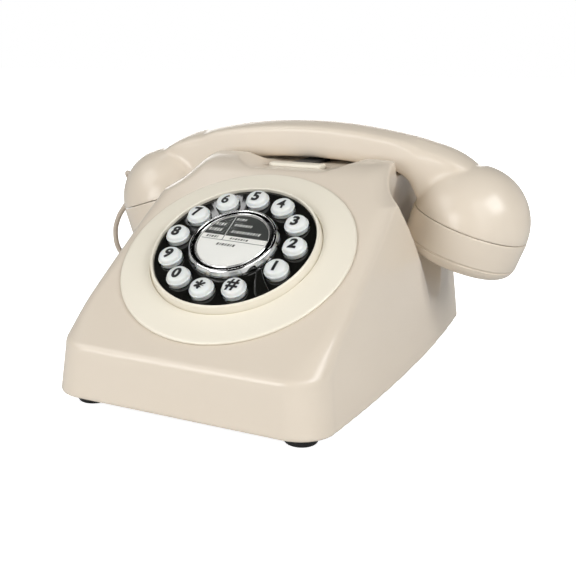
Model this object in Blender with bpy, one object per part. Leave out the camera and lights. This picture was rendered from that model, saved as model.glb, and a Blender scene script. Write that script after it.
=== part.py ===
"""Push-button desk telephone in the 1960s style, built as an assembly.

Frame: X to the right of someone facing the dial, Y to the back, Z up.
The case is laid out about its own middle, and the finished telephone is then
shifted so that the origin lies on the table under the middle of its bounding box.
All lengths are in metres.
"""
import math

import bmesh
import bpy
from mathutils import Matrix, Vector

MM = 0.001
GAP = 0.3 * MM
TABLE_SHIFT = (14.24 * MM, -34.57 * MM, 0.0)

# ---- case ---------------------------------------------------------------
FACE_TILT = math.radians(32.45)
DIAL_Y = -20.2 * MM
DIAL_Z = 66.4 * MM
CASE_BOTTOM = 6.0 * MM
CASE_TOP = 104.5 * MM
FRONT_FOOT_Y = -79.0 * MM
FRONT_WALL_LEAN = 0.075
FRONT_KNOT_Z = 17.0 * MM
CREASE_RADIUS = 6.0 * MM
BASE_HALF_WIDTH = 73.0 * MM
BASE_WIDEST_Y = 55.0 * MM
BASE_BOW = 0.433
SIDE_DRAFT = 0.117
FRONT_CORNER = 17.0 * MM
FACE_CORNER_X = 8.0 * MM
FACE_CORNER_Y = 10.5 * MM
REAR_CORNER = 20.0 * MM
REAR_Y = 147.0 * MM
REAR_WALL_LEAN = 0.06
REAR_SHOULDER_Z = 44.0 * MM
REAR_SLOPE = 0.66
BROW_RADIUS = 46.0 * MM
WALL = 2.6 * MM
CAVITY_TOP = 92.0 * MM
BOTTOM_ROUND = 0.8 * MM

# ---- neck scoops under the two ends of the handset -----------------------
NECK_Y = 78.0 * MM
NECK_FADE_Z = 27.0 * MM
NECK_FULL_Z = 66.0 * MM
NECK_DEPTH = 18.8 * MM
NECK_EASE_Z = 76.0 * MM
NECK_EASE = 7.0 * MM
EDGE_START_Z = 31.3 * MM
EDGE_START_Y = 66.9 * MM
EDGE_SLOPE = 0.358
EDGE_CURVE = 7.1
NECK_REAR_RATIO = 1.10

# ---- cradle --------------------------------------------------------------
TROUGH_FLOOR_Z = 101.8 * MM
TROUGH_SAG = 2.5
TROUGH_FRONT_Y = 65.5 * MM
TROUGH_REAR_Y = 94.5 * MM
VALLEY_Z = 99.6 * MM
VALLEY_HALF = 25.0 * MM
VALLEY_HALF_TOP = 37.0 * MM
VALLEY_FRONT_Y = 20.0 * MM
VALLEY_REAR_Y = 86.0 * MM

# ---- dial ----------------------------------------------------------------
BEZEL_RADIUS = 56.4
DRUM_RADIUS = 40.1
DRUM_HEIGHT = 6.6
LIP_RADIUS = 38.9
CASE_HOLE_RADIUS = 38.0 * MM
PLATE_RADIUS = 38.6 * MM
PLATE_LOW = 3.4 * MM
PLATE_TOP = 5.0 * MM
KEY_COUNT = 12
KEY_RING_RADIUS = 30.2 * MM
KEY_FIRST_ANGLE = math.radians(-26.5)
KEY_PITCH = math.radians(29.13)
KEY_RADIUS = 6.05
KEY_TOP = 9.7
KEY_FLANGE_RADIUS = 6.7
KEY_FLANGE_LOW = 1.5
KEY_FLANGE_TOP = 2.9
KEY_HOLE_RADIUS = 6.55 * MM
KEY_NAMES = ("1", "2", "3", "4", "5", "6", "7", "8", "9", "0", "star", "hash")
CHROME_OUTER = 21.3
CHROME_INNER = 19.6
CHROME_LOW = 5.3
CHROME_TOP = 8.8
BUTTON_RADIUS = 18.3 * MM
REDIAL_RADIUS = 18.3
REDIAL_LOW = 1.6
REDIAL_FLOOR = 7.4
REDIAL_RIM = 8.9
LABEL_RADIUS = 17.2 * MM
HOUSING_OUTER = 37.5
HOUSING_INNER = 36.4
HOUSING_RIM = -0.9
HOUSING_FLOOR = -5.2
HOUSING_LOW = -7.0
MAT_RADIUS = 36.0 * MM
STOP_ANGLE = math.radians(-47.0)

# ---- handset; it lies a little to the left of the middle of its seat -------
HANDSET_X = -4.0 * MM
SEAT_X = 89.8 * MM
SEAT_Y = 80.0 * MM
SEAT_Z = 72.7 * MM
SEAM_RADIUS = 30.4 * MM
SEAT_TILT = math.radians(18.0)
CAP_HEIGHT = 21.5 * MM
CAP_WALL = 2.6 * MM
HOLE_COUNT = 7
HOLE_RING = 8.0 * MM
HOLE_RADIUS = 1.2 * MM
HOLE_DEPTH = 6.0 * MM
CAPSULE_RADIUS = 22.0 * MM
CAPSULE_FLANGE = 27.0 * MM
CAPSULE_LOW = 4.0 * MM
CAPSULE_STEP = 10.0 * MM
CAPSULE_TOP = 14.0 * MM
DOME_WALL = 2.8 * MM
DOME_CROWN = 30.0 * MM
HANDLE_TOP_Z = 122.2 * MM
HANDLE_BOTTOM_Z = 102.1 * MM
HANDLE_HALF_DEPTH = 14.0 * MM
HANDLE_MEETS_DOME = 63.6
HANDLE_ROOT_Z = 83.0 * MM

# ---- cord ----------------------------------------------------------------
CORD_RADIUS = 1.6 * MM

# ---- base ----------------------------------------------------------------
BASE_LOW = 6.4 * MM
BASE_HIGH = 8.8 * MM
FOOT_RADIUS = 7.5 * MM
FOOT_STEM = 3.0 * MM
FOOT_PLACES = ((-52.0, -63.0), (52.0, -63.0), (-54.0, 128.0), (54.0, 128.0))
SCREW_PLACES = ((-36.0, -50.0), (36.0, -50.0), (-40.0, 128.0), (40.0, 128.0))

SCREW_RADIUS = 1.4 * MM
SCREW_HEAD = 3.2 * MM
SCREW_HEAD_HEIGHT = 1.8 * MM
SCREW_TOP = 17.0 * MM
BOSS_RADIUS = 3.6 * MM
FRONT_BOSS_TOP = 44.4 * MM
REAR_BOSS_TOP = 62.0 * MM

# ---- hook switch ---------------------------------------------------------
BAR_WIDTH = 29.5 * MM
BAR_DEPTH = 9.0 * MM
BAR_FRONT_Y = 44.5 * MM
BAR_TOP = 101.4 * MM
BAR_THICK = 2.8 * MM
BAR_PLAY = 0.5 * MM
BAR_SIDE_PLAY = 3.4 * MM
TONGUE_WIDTH = 11.0 * MM
TONGUE_REAR_Y = 82.5 * MM
TONGUE_TOP = 101.1 * MM
TONGUE_THICK = 2.2 * MM

# ---- sockets and switches ------------------------------------------------
JACK_Y = 97.3 * MM
JACK_Z = 17.4 * MM
JACK_OPENING = (14.0 * MM, 13.0 * MM, 12.0 * MM)
LINE_X = -26.0 * MM
LINE_OPENING = (13.0 * MM, 14.0 * MM, 12.0 * MM)
SWITCH_X = 22.0 * MM
SWITCH_OPENING = (15.0 * MM, 14.0 * MM, 4.4 * MM)

SWITCH_TRAVEL = 5.0 * MM
SLEEVE_DIRECTION = (-0.95, 0.12, 0.28)
SLEEVE_REACH = 29.6 * MM
SLEEVE_LENGTH = 5.0 * MM
SLEEVE_INNER_END = -6.0 * MM
SLEEVE_SHANK = 2.9 * MM
SLEEVE_COLLAR = 4.6 * MM
CORD_KNOTS = ((-129.0, 86.5, 78.0), (-129.0, 88.5, 73.0), (-130.5, 89.0, 68.5), (-136.0, 88.5, 60.5),
              (-140.0, 88.0, 54.0), (-142.7, 88.0, 44.7), (-141.0, 89.0, 33.0), (-131.0, 92.0, 22.0),
              (-113.0, 95.5, 16.5))

# ---- electronics ---------------------------------------------------------
BOARD_SIZE = (80.0 * MM, 56.0 * MM, 1.6 * MM)
BOARD_Y = 34.0 * MM
BOARD_LOW = 14.0 * MM
HANDLE_WEIGHT_Z = 108.9 * MM
HOOK_Y = 62.0 * MM
HOOK_TRAVEL = 4.5 * MM
HOOK_STEM_LOW = 70.0 * MM
HOOK_SPRING_LOW = 72.0 * MM
HOOK_SPRING_TOP = 90.0 * MM
STEM_RADIUS = 2.2 * MM
SPRING_RADIUS = 3.6 * MM
WIRE_RADIUS = 0.4 * MM
GONG_RADIUS = 21.0 * MM
GONG_HEIGHT = 14.0 * MM
GONG_WALL = 1.2 * MM
GONG_X = 26.0 * MM
GONG_Y = 98.0 * MM
GONG_Z = 22.0 * MM
COIL_Y = 128.0 * MM
HAMMER_Y = 116.0 * MM
HAMMER_Z = 25.0 * MM
HAMMER_REACH = 18.0 * MM


# ======================= helpers =========================================
def clear_scene():
    for item in list(bpy.data.objects):
        bpy.data.objects.remove(item, do_unlink=True)


def material(name, colour, roughness, metallic=0.0):
    mat = bpy.data.materials.get(name)
    if mat:
        return mat
    mat = bpy.data.materials.new(name)
    mat.use_nodes = True
    shader = mat.node_tree.nodes["Principled BSDF"]
    shader.inputs["Base Color"].default_value = (*colour, 1.0)
    shader.inputs["Roughness"].default_value = roughness
    shader.inputs["Metallic"].default_value = metallic
    mat.diffuse_color = (*colour, 1.0)
    return mat


def finish(name, bm, mat, smooth_angle=35.0):
    """Turns a bmesh into a named object with outward faces."""
    bmesh.ops.remove_doubles(bm, verts=bm.verts, dist=0.002 * MM)
    bmesh.ops.recalc_face_normals(bm, faces=bm.faces)
    mesh = bpy.data.meshes.new(name)
    bm.to_mesh(mesh)
    bm.free()
    if mat:
        mesh.materials.append(mat)
    obj = bpy.data.objects.new(name, mesh)
    bpy.context.scene.collection.objects.link(obj)
    shade(obj, smooth_angle)
    return obj


def shade(obj, angle):
    mesh = obj.data
    mesh.shade_smooth()
    mesh.set_sharp_from_angle(angle=math.radians(angle))


def loft(loops, closed_ends=True):
    """Skins a stack of loops that all have the same number of points."""
    bm = bmesh.new()
    rings = [[bm.verts.new(p) for p in loop] for loop in loops]
    count = len(rings[0])
    for lower, upper in zip(rings, rings[1:]):
        for i in range(count):
            j = (i + 1) % count
            bm.faces.new((lower[i], lower[j], upper[j], upper[i]))
    if closed_ends:
        bm.faces.new(list(reversed(rings[0])))
        bm.faces.new(rings[-1])
    return bm


def lathe(profile, segments):
    """Turns a closed (radius, height) outline about Z; radius 0 is a pole."""
    bm = bmesh.new()
    rings = []
    for radius, height in profile:
        if radius <= 0.0:
            rings.append([bm.verts.new((0.0, 0.0, height))])
            continue
        ring = []
        for k in range(segments):
            angle = 2.0 * math.pi * k / segments
            ring.append(bm.verts.new((radius * math.cos(angle), radius * math.sin(angle), height)))
        rings.append(ring)
    pairs = list(zip(rings, rings[1:] + rings[:1]))
    for one, two in pairs:
        if len(one) == 1 and len(two) == 1:
            continue
        for k in range(segments):
            j = (k + 1) % segments
            if len(one) == 1:
                bm.faces.new((one[0], two[j], two[k]))
            elif len(two) == 1:
                bm.faces.new((one[k], one[j], two[0]))
            else:
                bm.faces.new((one[k], one[j], two[j], two[k]))
    return bm


def mm_profile(points):
    return [(r * MM, h * MM) for r, h in points]


def circle_points(radius, height, segments):
    step = 2.0 * math.pi / segments
    return [(radius * math.cos(step * k), radius * math.sin(step * k), height) for k in range(segments)]


def cylinder(radius, low, high, segments=32):
    return loft([circle_points(radius, low, segments), circle_points(radius, high, segments)])


def joined(parts):
    """Gathers separate tool bodies in one bmesh."""
    bm = bmesh.new()
    for part in parts:
        mesh = bpy.data.meshes.new("gather")
        part.to_mesh(mesh)
        part.free()
        bm.from_mesh(mesh)
        bpy.data.meshes.remove(mesh)
    return bm


def box(size, centre):
    bm = bmesh.new()
    bmesh.ops.create_cube(bm, size=1.0)
    bmesh.ops.scale(bm, vec=size, verts=bm.verts)
    bmesh.ops.translate(bm, vec=centre, verts=bm.verts)
    return bm


def round_edges(bm, width, segments=2):
    bmesh.ops.bevel(bm, geom=list(bm.edges), offset=width, segments=segments,
                    profile=0.5, affect="EDGES", clamp_overlap=True)
    return bm


def moved(bm, matrix):
    bmesh.ops.transform(bm, matrix=matrix, verts=bm.verts)
    return bm


def combine(obj, tool_bm, operation):
    """Applies an exact Boolean with a throw-away tool body."""
    tool = finish(obj.name + "_tool", tool_bm, None)
    mod = obj.modifiers.new("cut", "BOOLEAN")
    mod.solver = "EXACT"
    mod.operation = operation
    mod.object = tool
    graph = bpy.context.evaluated_depsgraph_get()
    graph.update()
    result = bpy.data.meshes.new_from_object(obj.evaluated_get(graph))
    obj.modifiers.clear()
    old = obj.data
    obj.data = result
    bpy.data.meshes.remove(old)
    tool_mesh = tool.data
    bpy.data.objects.remove(tool, do_unlink=True)
    bpy.data.meshes.remove(tool_mesh)
    return obj


def cut(obj, tool_bm):
    return combine(obj, tool_bm, "DIFFERENCE")


def add(obj, tool_bm):
    return combine(obj, tool_bm, "UNION")


def tidy(obj, angle=35.0):
    """Welds the slivers a Boolean leaves and shades the result."""
    bm = bmesh.new()
    bm.from_mesh(obj.data)
    bmesh.ops.remove_doubles(bm, verts=bm.verts, dist=0.01 * MM)
    bmesh.ops.dissolve_degenerate(bm, edges=bm.edges, dist=0.005 * MM)
    bmesh.ops.triangulate(bm, faces=[f for f in bm.faces if len(f.verts) > 4])
    bm.to_mesh(obj.data)
    bm.free()
    shade(obj, angle)
    return obj


def smoothstep(value, low, high):
    t = min(max((value - low) / (high - low), 0.0), 1.0)
    return t * t * (3.0 - 2.0 * t)


def mix(a, b, t):
    return a + (b - a) * t


# ======================= case surface ====================================
def panel_x(y, z):
    """Half-width of the plain side wall."""
    bow = BASE_BOW * (y - BASE_WIDEST_Y) ** 2
    return BASE_HALF_WIDTH - bow - SIDE_DRAFT * (z - CASE_BOTTOM)


def edge_y(z):
    """Where the side wall breaks into the neck scoop at height z."""
    rise = max(z - EDGE_START_Z, 0.0)
    return EDGE_START_Y - EDGE_SLOPE * rise - EDGE_CURVE * rise * rise


def neck_depth(z):
    deep = NECK_DEPTH * smoothstep(z, NECK_FADE_Z, NECK_FULL_Z)
    return deep - NECK_EASE * smoothstep(z, NECK_EASE_Z, CASE_TOP)


def scoop_x(y, z):
    start = edge_y(z)
    depth = neck_depth(z)
    bottom = panel_x(NECK_Y, z) - depth
    reach = NECK_Y - start if y <= NECK_Y else (NECK_Y - start) * NECK_REAR_RATIO
    if abs(y - NECK_Y) >= reach:
        return panel_x(y, z)
    rim = panel_x(start, z) if y <= NECK_Y else panel_x(NECK_Y + reach, z)
    return bottom + (rim - bottom) * ((y - NECK_Y) / reach) ** 2


def side_x(y, z):
    if z <= NECK_FADE_Z:
        return panel_x(y, z)
    return min(panel_x(y, z), scoop_x(y, z))


def wall_x(y, z, inset):
    """Half-width of the outer skin, or of the inner skin a wall's depth in."""
    if inset <= 0.0:
        return side_x(y, z)
    best = side_x(y, z) - inset
    for k in range(8):
        angle = 0.25 * math.pi * k
        for part in (0.5, 0.87):
            dy = inset * part * math.cos(angle)
            dz = inset * part * math.sin(angle)
            best = min(best, side_x(y + dy, z + dz) - inset * math.sqrt(1.0 - part * part))
    return best


def face_y(z):
    return DIAL_Y + (z - DIAL_Z) / math.tan(FACE_TILT)


def front_profile():
    """(y, z) points of the front, bottom to top: wall, crease, face, brow."""
    lean = FRONT_WALL_LEAN
    k = 1.0 / math.tan(FACE_TILT)
    z0 = (FRONT_FOOT_Y - lean * CASE_BOTTOM - DIAL_Y + DIAL_Z * k) / (k - lean)
    y0 = face_y(z0)
    wall_angle = math.atan2(1.0, lean)
    turn = wall_angle - FACE_TILT
    tangent = CREASE_RADIUS * math.tan(turn / 2.0)
    start = (y0 - tangent * math.cos(wall_angle), z0 - tangent * math.sin(wall_angle))
    cy = start[0] + CREASE_RADIUS * math.sin(wall_angle)
    cz = start[1] - CREASE_RADIUS * math.cos(wall_angle)
    points = [(FRONT_FOOT_Y + BOTTOM_ROUND, CASE_BOTTOM)]
    points.append((FRONT_FOOT_Y, CASE_BOTTOM + BOTTOM_ROUND))
    points.append((FRONT_FOOT_Y + lean * (FRONT_KNOT_Z - CASE_BOTTOM), FRONT_KNOT_Z))
    for i in range(5):
        angle = wall_angle - turn * i / 4.0
        points.append((cy - CREASE_RADIUS * math.sin(angle), cz + CREASE_RADIUS * math.cos(angle)))
    brow_z = CASE_TOP - BROW_RADIUS * (1.0 - math.cos(FACE_TILT))
    low = points[-1][1]
    for i in range(1, 9):
        z = mix(low, brow_z, i / 8.0)
        points.append((face_y(z), z))
    foot = face_y(brow_z) + BROW_RADIUS * math.sin(FACE_TILT)
    for i in range(1, 6):
        angle = FACE_TILT * (1.0 - i / 5.0)
        z = CASE_TOP - BROW_RADIUS * (1.0 - math.cos(angle))
        points.append((foot - BROW_RADIUS * math.sin(angle), z))
    return points


def rear_y(z):
    wall = REAR_Y - REAR_WALL_LEAN * (z - CASE_BOTTOM)
    slope = REAR_Y - REAR_WALL_LEAN * (REAR_SHOULDER_Z - CASE_BOTTOM)
    slope -= REAR_SLOPE * (z - REAR_SHOULDER_Z)
    soft = 4.0 * MM
    gap = (wall - slope) / soft
    return wall - soft * math.log1p(math.exp(min(gap, 40.0))) if gap < 40.0 else slope


def section(y_front, z, inset=0.0):
    """Closed plan outline of the case at height z, right half mirrored."""
    t = smoothstep(z, 26.0 * MM, 46.0 * MM)
    rx = mix(FRONT_CORNER, FACE_CORNER_X, t) - inset * 0.5
    ry = mix(FRONT_CORNER, FACE_CORNER_Y, t) - inset * 0.5
    y_back = rear_y(z) - inset
    y_c = y_front + ry
    x_c = wall_x(y_c, z, inset)
    rr = mix(REAR_CORNER, 8.0 * MM, smoothstep(z, 40.0 * MM, 95.0 * MM))
    y_r = y_back - rr
    y_edge = max(edge_y(z), y_c + 0.6 * MM)
    y_end = NECK_Y + (NECK_Y - edge_y(z)) * NECK_REAR_RATIO
    y_end = min(y_end, y_r - 0.6 * MM)
    half = []
    for i in range(3):
        half.append(((x_c - rx) * i / 3.0, y_front))
    for i in range(8):
        a = 0.5 * math.pi * i / 7.0
        half.append((x_c - rx + rx * math.sin(a), y_c - ry * math.cos(a)))
    for i in range(1, 5):
        y = mix(y_c, y_edge, i / 4.0)
        half.append((wall_x(y, z, inset), y))
    for i in range(1, 10):
        y = mix(y_edge, y_end, i / 9.0)
        half.append((wall_x(y, z, inset), y))
    half.append((wall_x(y_r, z, inset), y_r))
    x_r = wall_x(y_r, z, inset)
    for i in range(1, 6):
        a = 0.5 * math.pi * i / 5.0
        half.append((x_r - rr + rr * math.cos(a), y_r + rr * math.sin(a)))
    for i in range(1, 3):
        half.append(((x_r - rr) * (1.0 - i / 2.0), y_back))
    mirrored = [(-x, y) for x, y in reversed(half[1:-1])]
    return [(x, y, z) for x, y in half + mirrored]


def case_body():
    loops = []
    for y, z in front_profile():
        inset = BOTTOM_ROUND if z <= CASE_BOTTOM else 0.0
        loops.append(section(y, z, inset))
    return loft(loops)


def cavity_body():
    """Hollow of the case: the same plan pulled in by the wall."""
    drop = WALL / math.cos(FACE_TILT)
    levels = [4.0, 24.0, 32.0, 42.0, 52.0, 62.0, 72.0, 83.0]
    loops = []
    for z in [v * MM for v in levels] + [CAVITY_TOP]:
        wall_y = FRONT_FOOT_Y + FRONT_WALL_LEAN * (z - CASE_BOTTOM) + WALL
        y = max(wall_y, face_y(z + drop))
        loops.append(section(y, z, WALL))
    return loft(loops)


def trough_body():
    """Curved seat for the handle, open to both sides."""
    loops = []
    for i in range(17):
        x = mix(-62.0, 62.0, i / 16.0) * MM
        low = TROUGH_FLOOR_Z - TROUGH_SAG * x * x
        top = CASE_TOP + 4.0 * MM
        spread = top - low
        loops.append([(x, TROUGH_FRONT_Y, low), (x, TROUGH_REAR_Y, low),
                      (x, TROUGH_REAR_Y + spread, top), (x, TROUGH_FRONT_Y - spread, top)])
    return loft(loops)


def valley_body():
    """Dip between the two front horns; it ends on a ledge under the grip."""
    top = CASE_TOP + 3.0 * MM
    widen = VALLEY_HALF_TOP + (VALLEY_HALF_TOP - VALLEY_HALF) * 3.0 / 4.9
    loops = []
    for y in (VALLEY_FRONT_Y, VALLEY_REAR_Y):
        loops.append([(-VALLEY_HALF, y, VALLEY_Z), (VALLEY_HALF, y, VALLEY_Z),
                      (widen, y, top), (-widen, y, top)])
    return loft(loops)


def dial_matrix():
    place = Matrix.Translation((0.0, DIAL_Y, DIAL_Z))
    return place @ Matrix.Rotation(FACE_TILT, 4, "X")


def boss_body(x, y, top):
    return moved(cylinder(BOSS_RADIUS, BASE_HIGH + GAP, top, 20), Matrix.Translation((x, y, 0.0)))


def hook_slots():
    """Openings of the hook bar and its tongue, right through the roof."""
    height = 20.0 * MM
    middle = BAR_TOP - BAR_THICK
    bar = box((BAR_WIDTH + 2.0 * BAR_SIDE_PLAY, BAR_DEPTH + 2.0 * BAR_PLAY, height),
              (0.0, BAR_FRONT_Y + 0.5 * BAR_DEPTH, middle))
    low_y = BAR_FRONT_Y + 0.5 * BAR_DEPTH
    length = TONGUE_REAR_Y + BAR_PLAY - low_y
    tongue = box((TONGUE_WIDTH + 2.0 * BAR_PLAY, length, height), (0.0, low_y + 0.5 * length, middle))
    return bar, tongue


def build_case(mat):
    case = finish("upper_case", case_body(), mat)
    cut(case, cavity_body())
    bosses = []
    bores = []
    for x, y in SCREW_PLACES:
        top = FRONT_BOSS_TOP if y < 0.0 else REAR_BOSS_TOP
        bosses.append(boss_body(x * MM, y * MM, top))
        bore = cylinder(SCREW_RADIUS + 0.2 * MM, 0.0, SCREW_TOP + 0.6 * MM, 12)
        bores.append(moved(bore, Matrix.Translation((x * MM, y * MM, 0.0))))
    add(case, joined(bosses))
    cut(case, joined(bores))
    cut(case, trough_body())
    cut(case, valley_body())
    for slot in hook_slots():
        cut(case, slot)
    hole = moved(cylinder(CASE_HOLE_RADIUS, -12.0 * MM, 8.0 * MM, 48), dial_matrix())
    cut(case, hole)
    openings = [box(JACK_OPENING, (-BASE_HALF_WIDTH, JACK_Y, JACK_Z)),
                box(LINE_OPENING, (LINE_X, REAR_Y, JACK_Z)),
                box(SWITCH_OPENING, (SWITCH_X, REAR_Y, JACK_Z))]
    cut(case, joined(openings))
    return tidy(case)


# ======================= base ============================================
def base_outline(z, inset):
    return section(FRONT_FOOT_Y + inset, z, inset)


def build_base(mats):
    inset = WALL + 0.4 * MM
    base = finish("base_plate", loft([base_outline(z, inset) for z in (BASE_LOW, BASE_HIGH)]), mats["dark"])
    for x, y in FOOT_PLACES:
        hole = cylinder(FOOT_STEM + 0.3 * MM, 0.0, 2.0 * BASE_HIGH, 12)
        cut(base, moved(hole, Matrix.Translation((x * MM, y * MM, 0.0))))
    for x, y in SCREW_PLACES:
        hole = cylinder(SCREW_RADIUS + 0.4 * MM, 0.0, 2.0 * BASE_HIGH, 10)
        cut(base, moved(hole, Matrix.Translation((x * MM, y * MM, 0.0))))
    for dx in (-1, 1):
        for dy in (-1, 1):
            post = cylinder(2.6 * MM, BASE_HIGH - 1.0 * MM, BOARD_LOW - GAP, 10)
            spot = (dx * 0.42 * BOARD_SIZE[0], BOARD_Y + dy * 0.40 * BOARD_SIZE[1], 0.0)
            add(base, moved(post, Matrix.Translation(spot)))
    tidy(base)
    for i, (x, y) in enumerate(FOOT_PLACES):
        foot_low = BASE_LOW - GAP
        outline = [(0.0, 0.0), (FOOT_RADIUS - 1.0 * MM, 0.0), (FOOT_RADIUS, 1.0 * MM),
                   (FOOT_RADIUS, foot_low), (FOOT_STEM, foot_low), (FOOT_STEM, BASE_HIGH + 0.6 * MM),
                   (0.0, BASE_HIGH + 0.6 * MM)]
        foot = finish("foot_%d" % (i + 1), lathe(outline, 16), mats["rubber"])
        foot.location = (x * MM, y * MM, 0.0)
    for i, (x, y) in enumerate(SCREW_PLACES):
        low = BASE_LOW - GAP - SCREW_HEAD_HEIGHT
        outline = [(0.0, low), (SCREW_HEAD - 0.5 * MM, low), (SCREW_HEAD, low + 0.6 * MM),
                   (SCREW_HEAD, BASE_LOW - GAP), (SCREW_RADIUS, BASE_LOW - GAP),
                   (SCREW_RADIUS, SCREW_TOP), (0.0, SCREW_TOP + 0.4 * MM)]
        screw = finish("base_screw_%d" % (i + 1), lathe(outline, 10), mats["steel"])
        screw.location = (x * MM, y * MM, 0.0)


# ======================= dial group ======================================
def place_on_dial(obj, u=0.0, v=0.0):
    base = dial_matrix() @ Matrix.Translation((u, v, 0.0))
    obj.location = base.to_translation()
    obj.rotation_euler = base.to_euler()
    return obj


def key_place(index):
    angle = KEY_FIRST_ANGLE + index * KEY_PITCH
    return KEY_RING_RADIUS * math.cos(angle), KEY_RING_RADIUS * math.sin(angle)


def build_dial(mats):
    bezel = mm_profile([(BEZEL_RADIUS, 0.3), (BEZEL_RADIUS, 0.9), (BEZEL_RADIUS - 0.9, 1.5),
                        (DRUM_RADIUS + 2.3, 2.6), (DRUM_RADIUS + 0.4, 3.1), (DRUM_RADIUS, DRUM_HEIGHT - 0.5),
                        (DRUM_RADIUS - 0.4, DRUM_HEIGHT), (LIP_RADIUS + 0.3, DRUM_HEIGHT),
                        (LIP_RADIUS, DRUM_HEIGHT - 0.4), (LIP_RADIUS, 3.1), (LIP_RADIUS - 1.6, 3.1),
                        (LIP_RADIUS - 1.6, 0.3)])
    place_on_dial(finish("dial_surround", lathe(bezel, 44), mats["ivory"]))
    plate = finish("dial_faceplate", cylinder(PLATE_RADIUS, PLATE_LOW, PLATE_TOP, 40), mats["black"])
    holes = [cylinder(BUTTON_RADIUS + 0.6 * MM, 0.0, 9.0 * MM, 32)]
    for i in range(KEY_COUNT):
        u, v = key_place(i)
        holes.append(moved(cylinder(KEY_HOLE_RADIUS, 0.0, 9.0 * MM, 12), Matrix.Translation((u, v, 0.0))))
    cut(plate, joined(holes))
    place_on_dial(tidy(plate))
    ring = mm_profile([(CHROME_OUTER, CHROME_LOW), (CHROME_OUTER, CHROME_TOP - 0.6),
                       (CHROME_OUTER - 0.5, CHROME_TOP), (CHROME_INNER + 0.5, CHROME_TOP),
                       (CHROME_INNER, CHROME_TOP - 0.6), (CHROME_INNER, CHROME_LOW)])
    place_on_dial(finish("centre_ring", lathe(ring, 36), mats["chrome"]))
    cup = mm_profile([(HOUSING_OUTER, HOUSING_RIM), (HOUSING_OUTER, HOUSING_LOW), (0.0, HOUSING_LOW),
                      (0.0, HOUSING_FLOOR), (HOUSING_INNER, HOUSING_FLOOR), (HOUSING_INNER, HOUSING_RIM)])
    place_on_dial(finish("keypad_housing", lathe(cup, 36), mats["dark"]))
    place_on_dial(finish("keypad_board", cylinder(MAT_RADIUS, -4.9 * MM, -3.3 * MM, 36), mats["board"]))
    place_on_dial(finish("keypad_mat", cylinder(MAT_RADIUS, -3.0 * MM, -1.0 * MM, 36), mats["mat"]))


def build_keys(mats):
    outline = mm_profile([(0.0, KEY_TOP), (KEY_RADIUS * 0.6, KEY_TOP - 0.2),
                          (KEY_RADIUS * 0.88, KEY_TOP - 1.2), (KEY_RADIUS, KEY_TOP - 3.3),
                          (KEY_RADIUS, KEY_FLANGE_TOP),
                          (KEY_FLANGE_RADIUS, KEY_FLANGE_TOP), (KEY_FLANGE_RADIUS, KEY_FLANGE_LOW),
                          (0.0, KEY_FLANGE_LOW)])
    for i, name in enumerate(KEY_NAMES):
        u, v = key_place(i)
        place_on_dial(finish("key_" + name, lathe(outline, 12), mats["key"]), u, v)


def build_redial(mats):
    button = mm_profile([(0.0, REDIAL_LOW), (REDIAL_RADIUS, REDIAL_LOW), (REDIAL_RADIUS, REDIAL_RIM - 0.5),
                         (REDIAL_RADIUS - 0.4, REDIAL_RIM), (REDIAL_RADIUS - 0.8, REDIAL_RIM),
                         (REDIAL_RADIUS - 0.8, REDIAL_FLOOR), (0.0, REDIAL_FLOOR)])
    place_on_dial(finish("redial_button", lathe(button, 32), mats["satin"]))
    place_on_dial(finish("redial_label", cylinder(LABEL_RADIUS, 7.7 * MM, 8.0 * MM, 32), mats["label"]))
    r = LABEL_RADIUS
    lens = [(0.0, 8.3 * MM), (r, 8.3 * MM), (r, 8.8 * MM), (0.87 * r, 9.2 * MM), (0.52 * r, 9.5 * MM),
            (0.0, 9.6 * MM)]
    place_on_dial(finish("redial_lens", lathe(lens, 32), mats["lens"]))


def build_stop(mats):
    """Curved arm standing on the black plate between the last key and the first."""
    loops = []
    for i in range(9):
        t = i / 8.0
        radius = mix(38.2, 24.6, t) * MM
        angle = STOP_ANGLE + math.radians(9.0) * t * t
        centre = Vector((radius * math.cos(angle), radius * math.sin(angle), 0.0))
        across = Vector((-math.sin(angle), math.cos(angle), 0.0))
        half = mix(3.4, 1.7, smoothstep(t, 0.0, 1.0)) * MM
        low = PLATE_TOP + GAP
        high = mix(6.8, 8.2, smoothstep(t, 0.0, 0.8)) * MM
        soft = 0.5 * MM
        loop = []
        for side, level in ((-1.0, low), (1.0, low), (1.0, high - soft), (0.75, high), (-0.75, high),
                            (-1.0, high - soft)):
            point = centre + across * (side * half)
            loop.append((point.x, point.y, level))
        loops.append(loop)
    place_on_dial(finish("finger_stop", loft(loops), mats["black"]))


# ======================= handset =========================================
def handle_top(x):
    """Height of the handle's back over the table."""
    a = abs(x) / MM
    return HANDLE_TOP_Z - (0.0018 * a * a + 12.2 * (a / 100.0) ** 7) * MM


def handle_bottom(x):
    a = abs(x) / MM
    return HANDLE_BOTTOM_Z - (0.0016 * a * a + 10.0 * (a / 62.5) ** 14) * MM


def handle_section(x, low, high, half):
    """Outline of the grip in the YZ plane: flat sides and a crowned back."""
    loop = []
    shape = ((-0.60, 0.0), (-0.88, 0.05), (-0.98, 0.16), (-1.0, 0.35), (-0.985, 0.55), (-0.93, 0.70),
             (-0.80, 0.82), (-0.55, 0.92), (-0.25, 0.985), (0.0, 1.0))
    mirrored = [(-a, b) for a, b in reversed(shape[:-1])]
    for a, b in list(shape) + mirrored:
        loop.append((x, SEAT_Y + a * half, mix(low, high, b)))
    return loop


def seat_matrix(side):
    """Axis of one end: Z runs out of the cap towards the face."""
    tilt = Matrix.Rotation(math.pi + side * SEAT_TILT, 4, "Y")
    return Matrix.Translation((HANDSET_X + side * SEAT_X, SEAT_Y, SEAT_Z)) @ tilt


def dome_radius(angle):
    """Distance from the seat centre; the dome flares a little at the seam."""
    return mix(DOME_CROWN, SEAM_RADIUS, (angle / (0.5 * math.pi)) ** 4)


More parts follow.
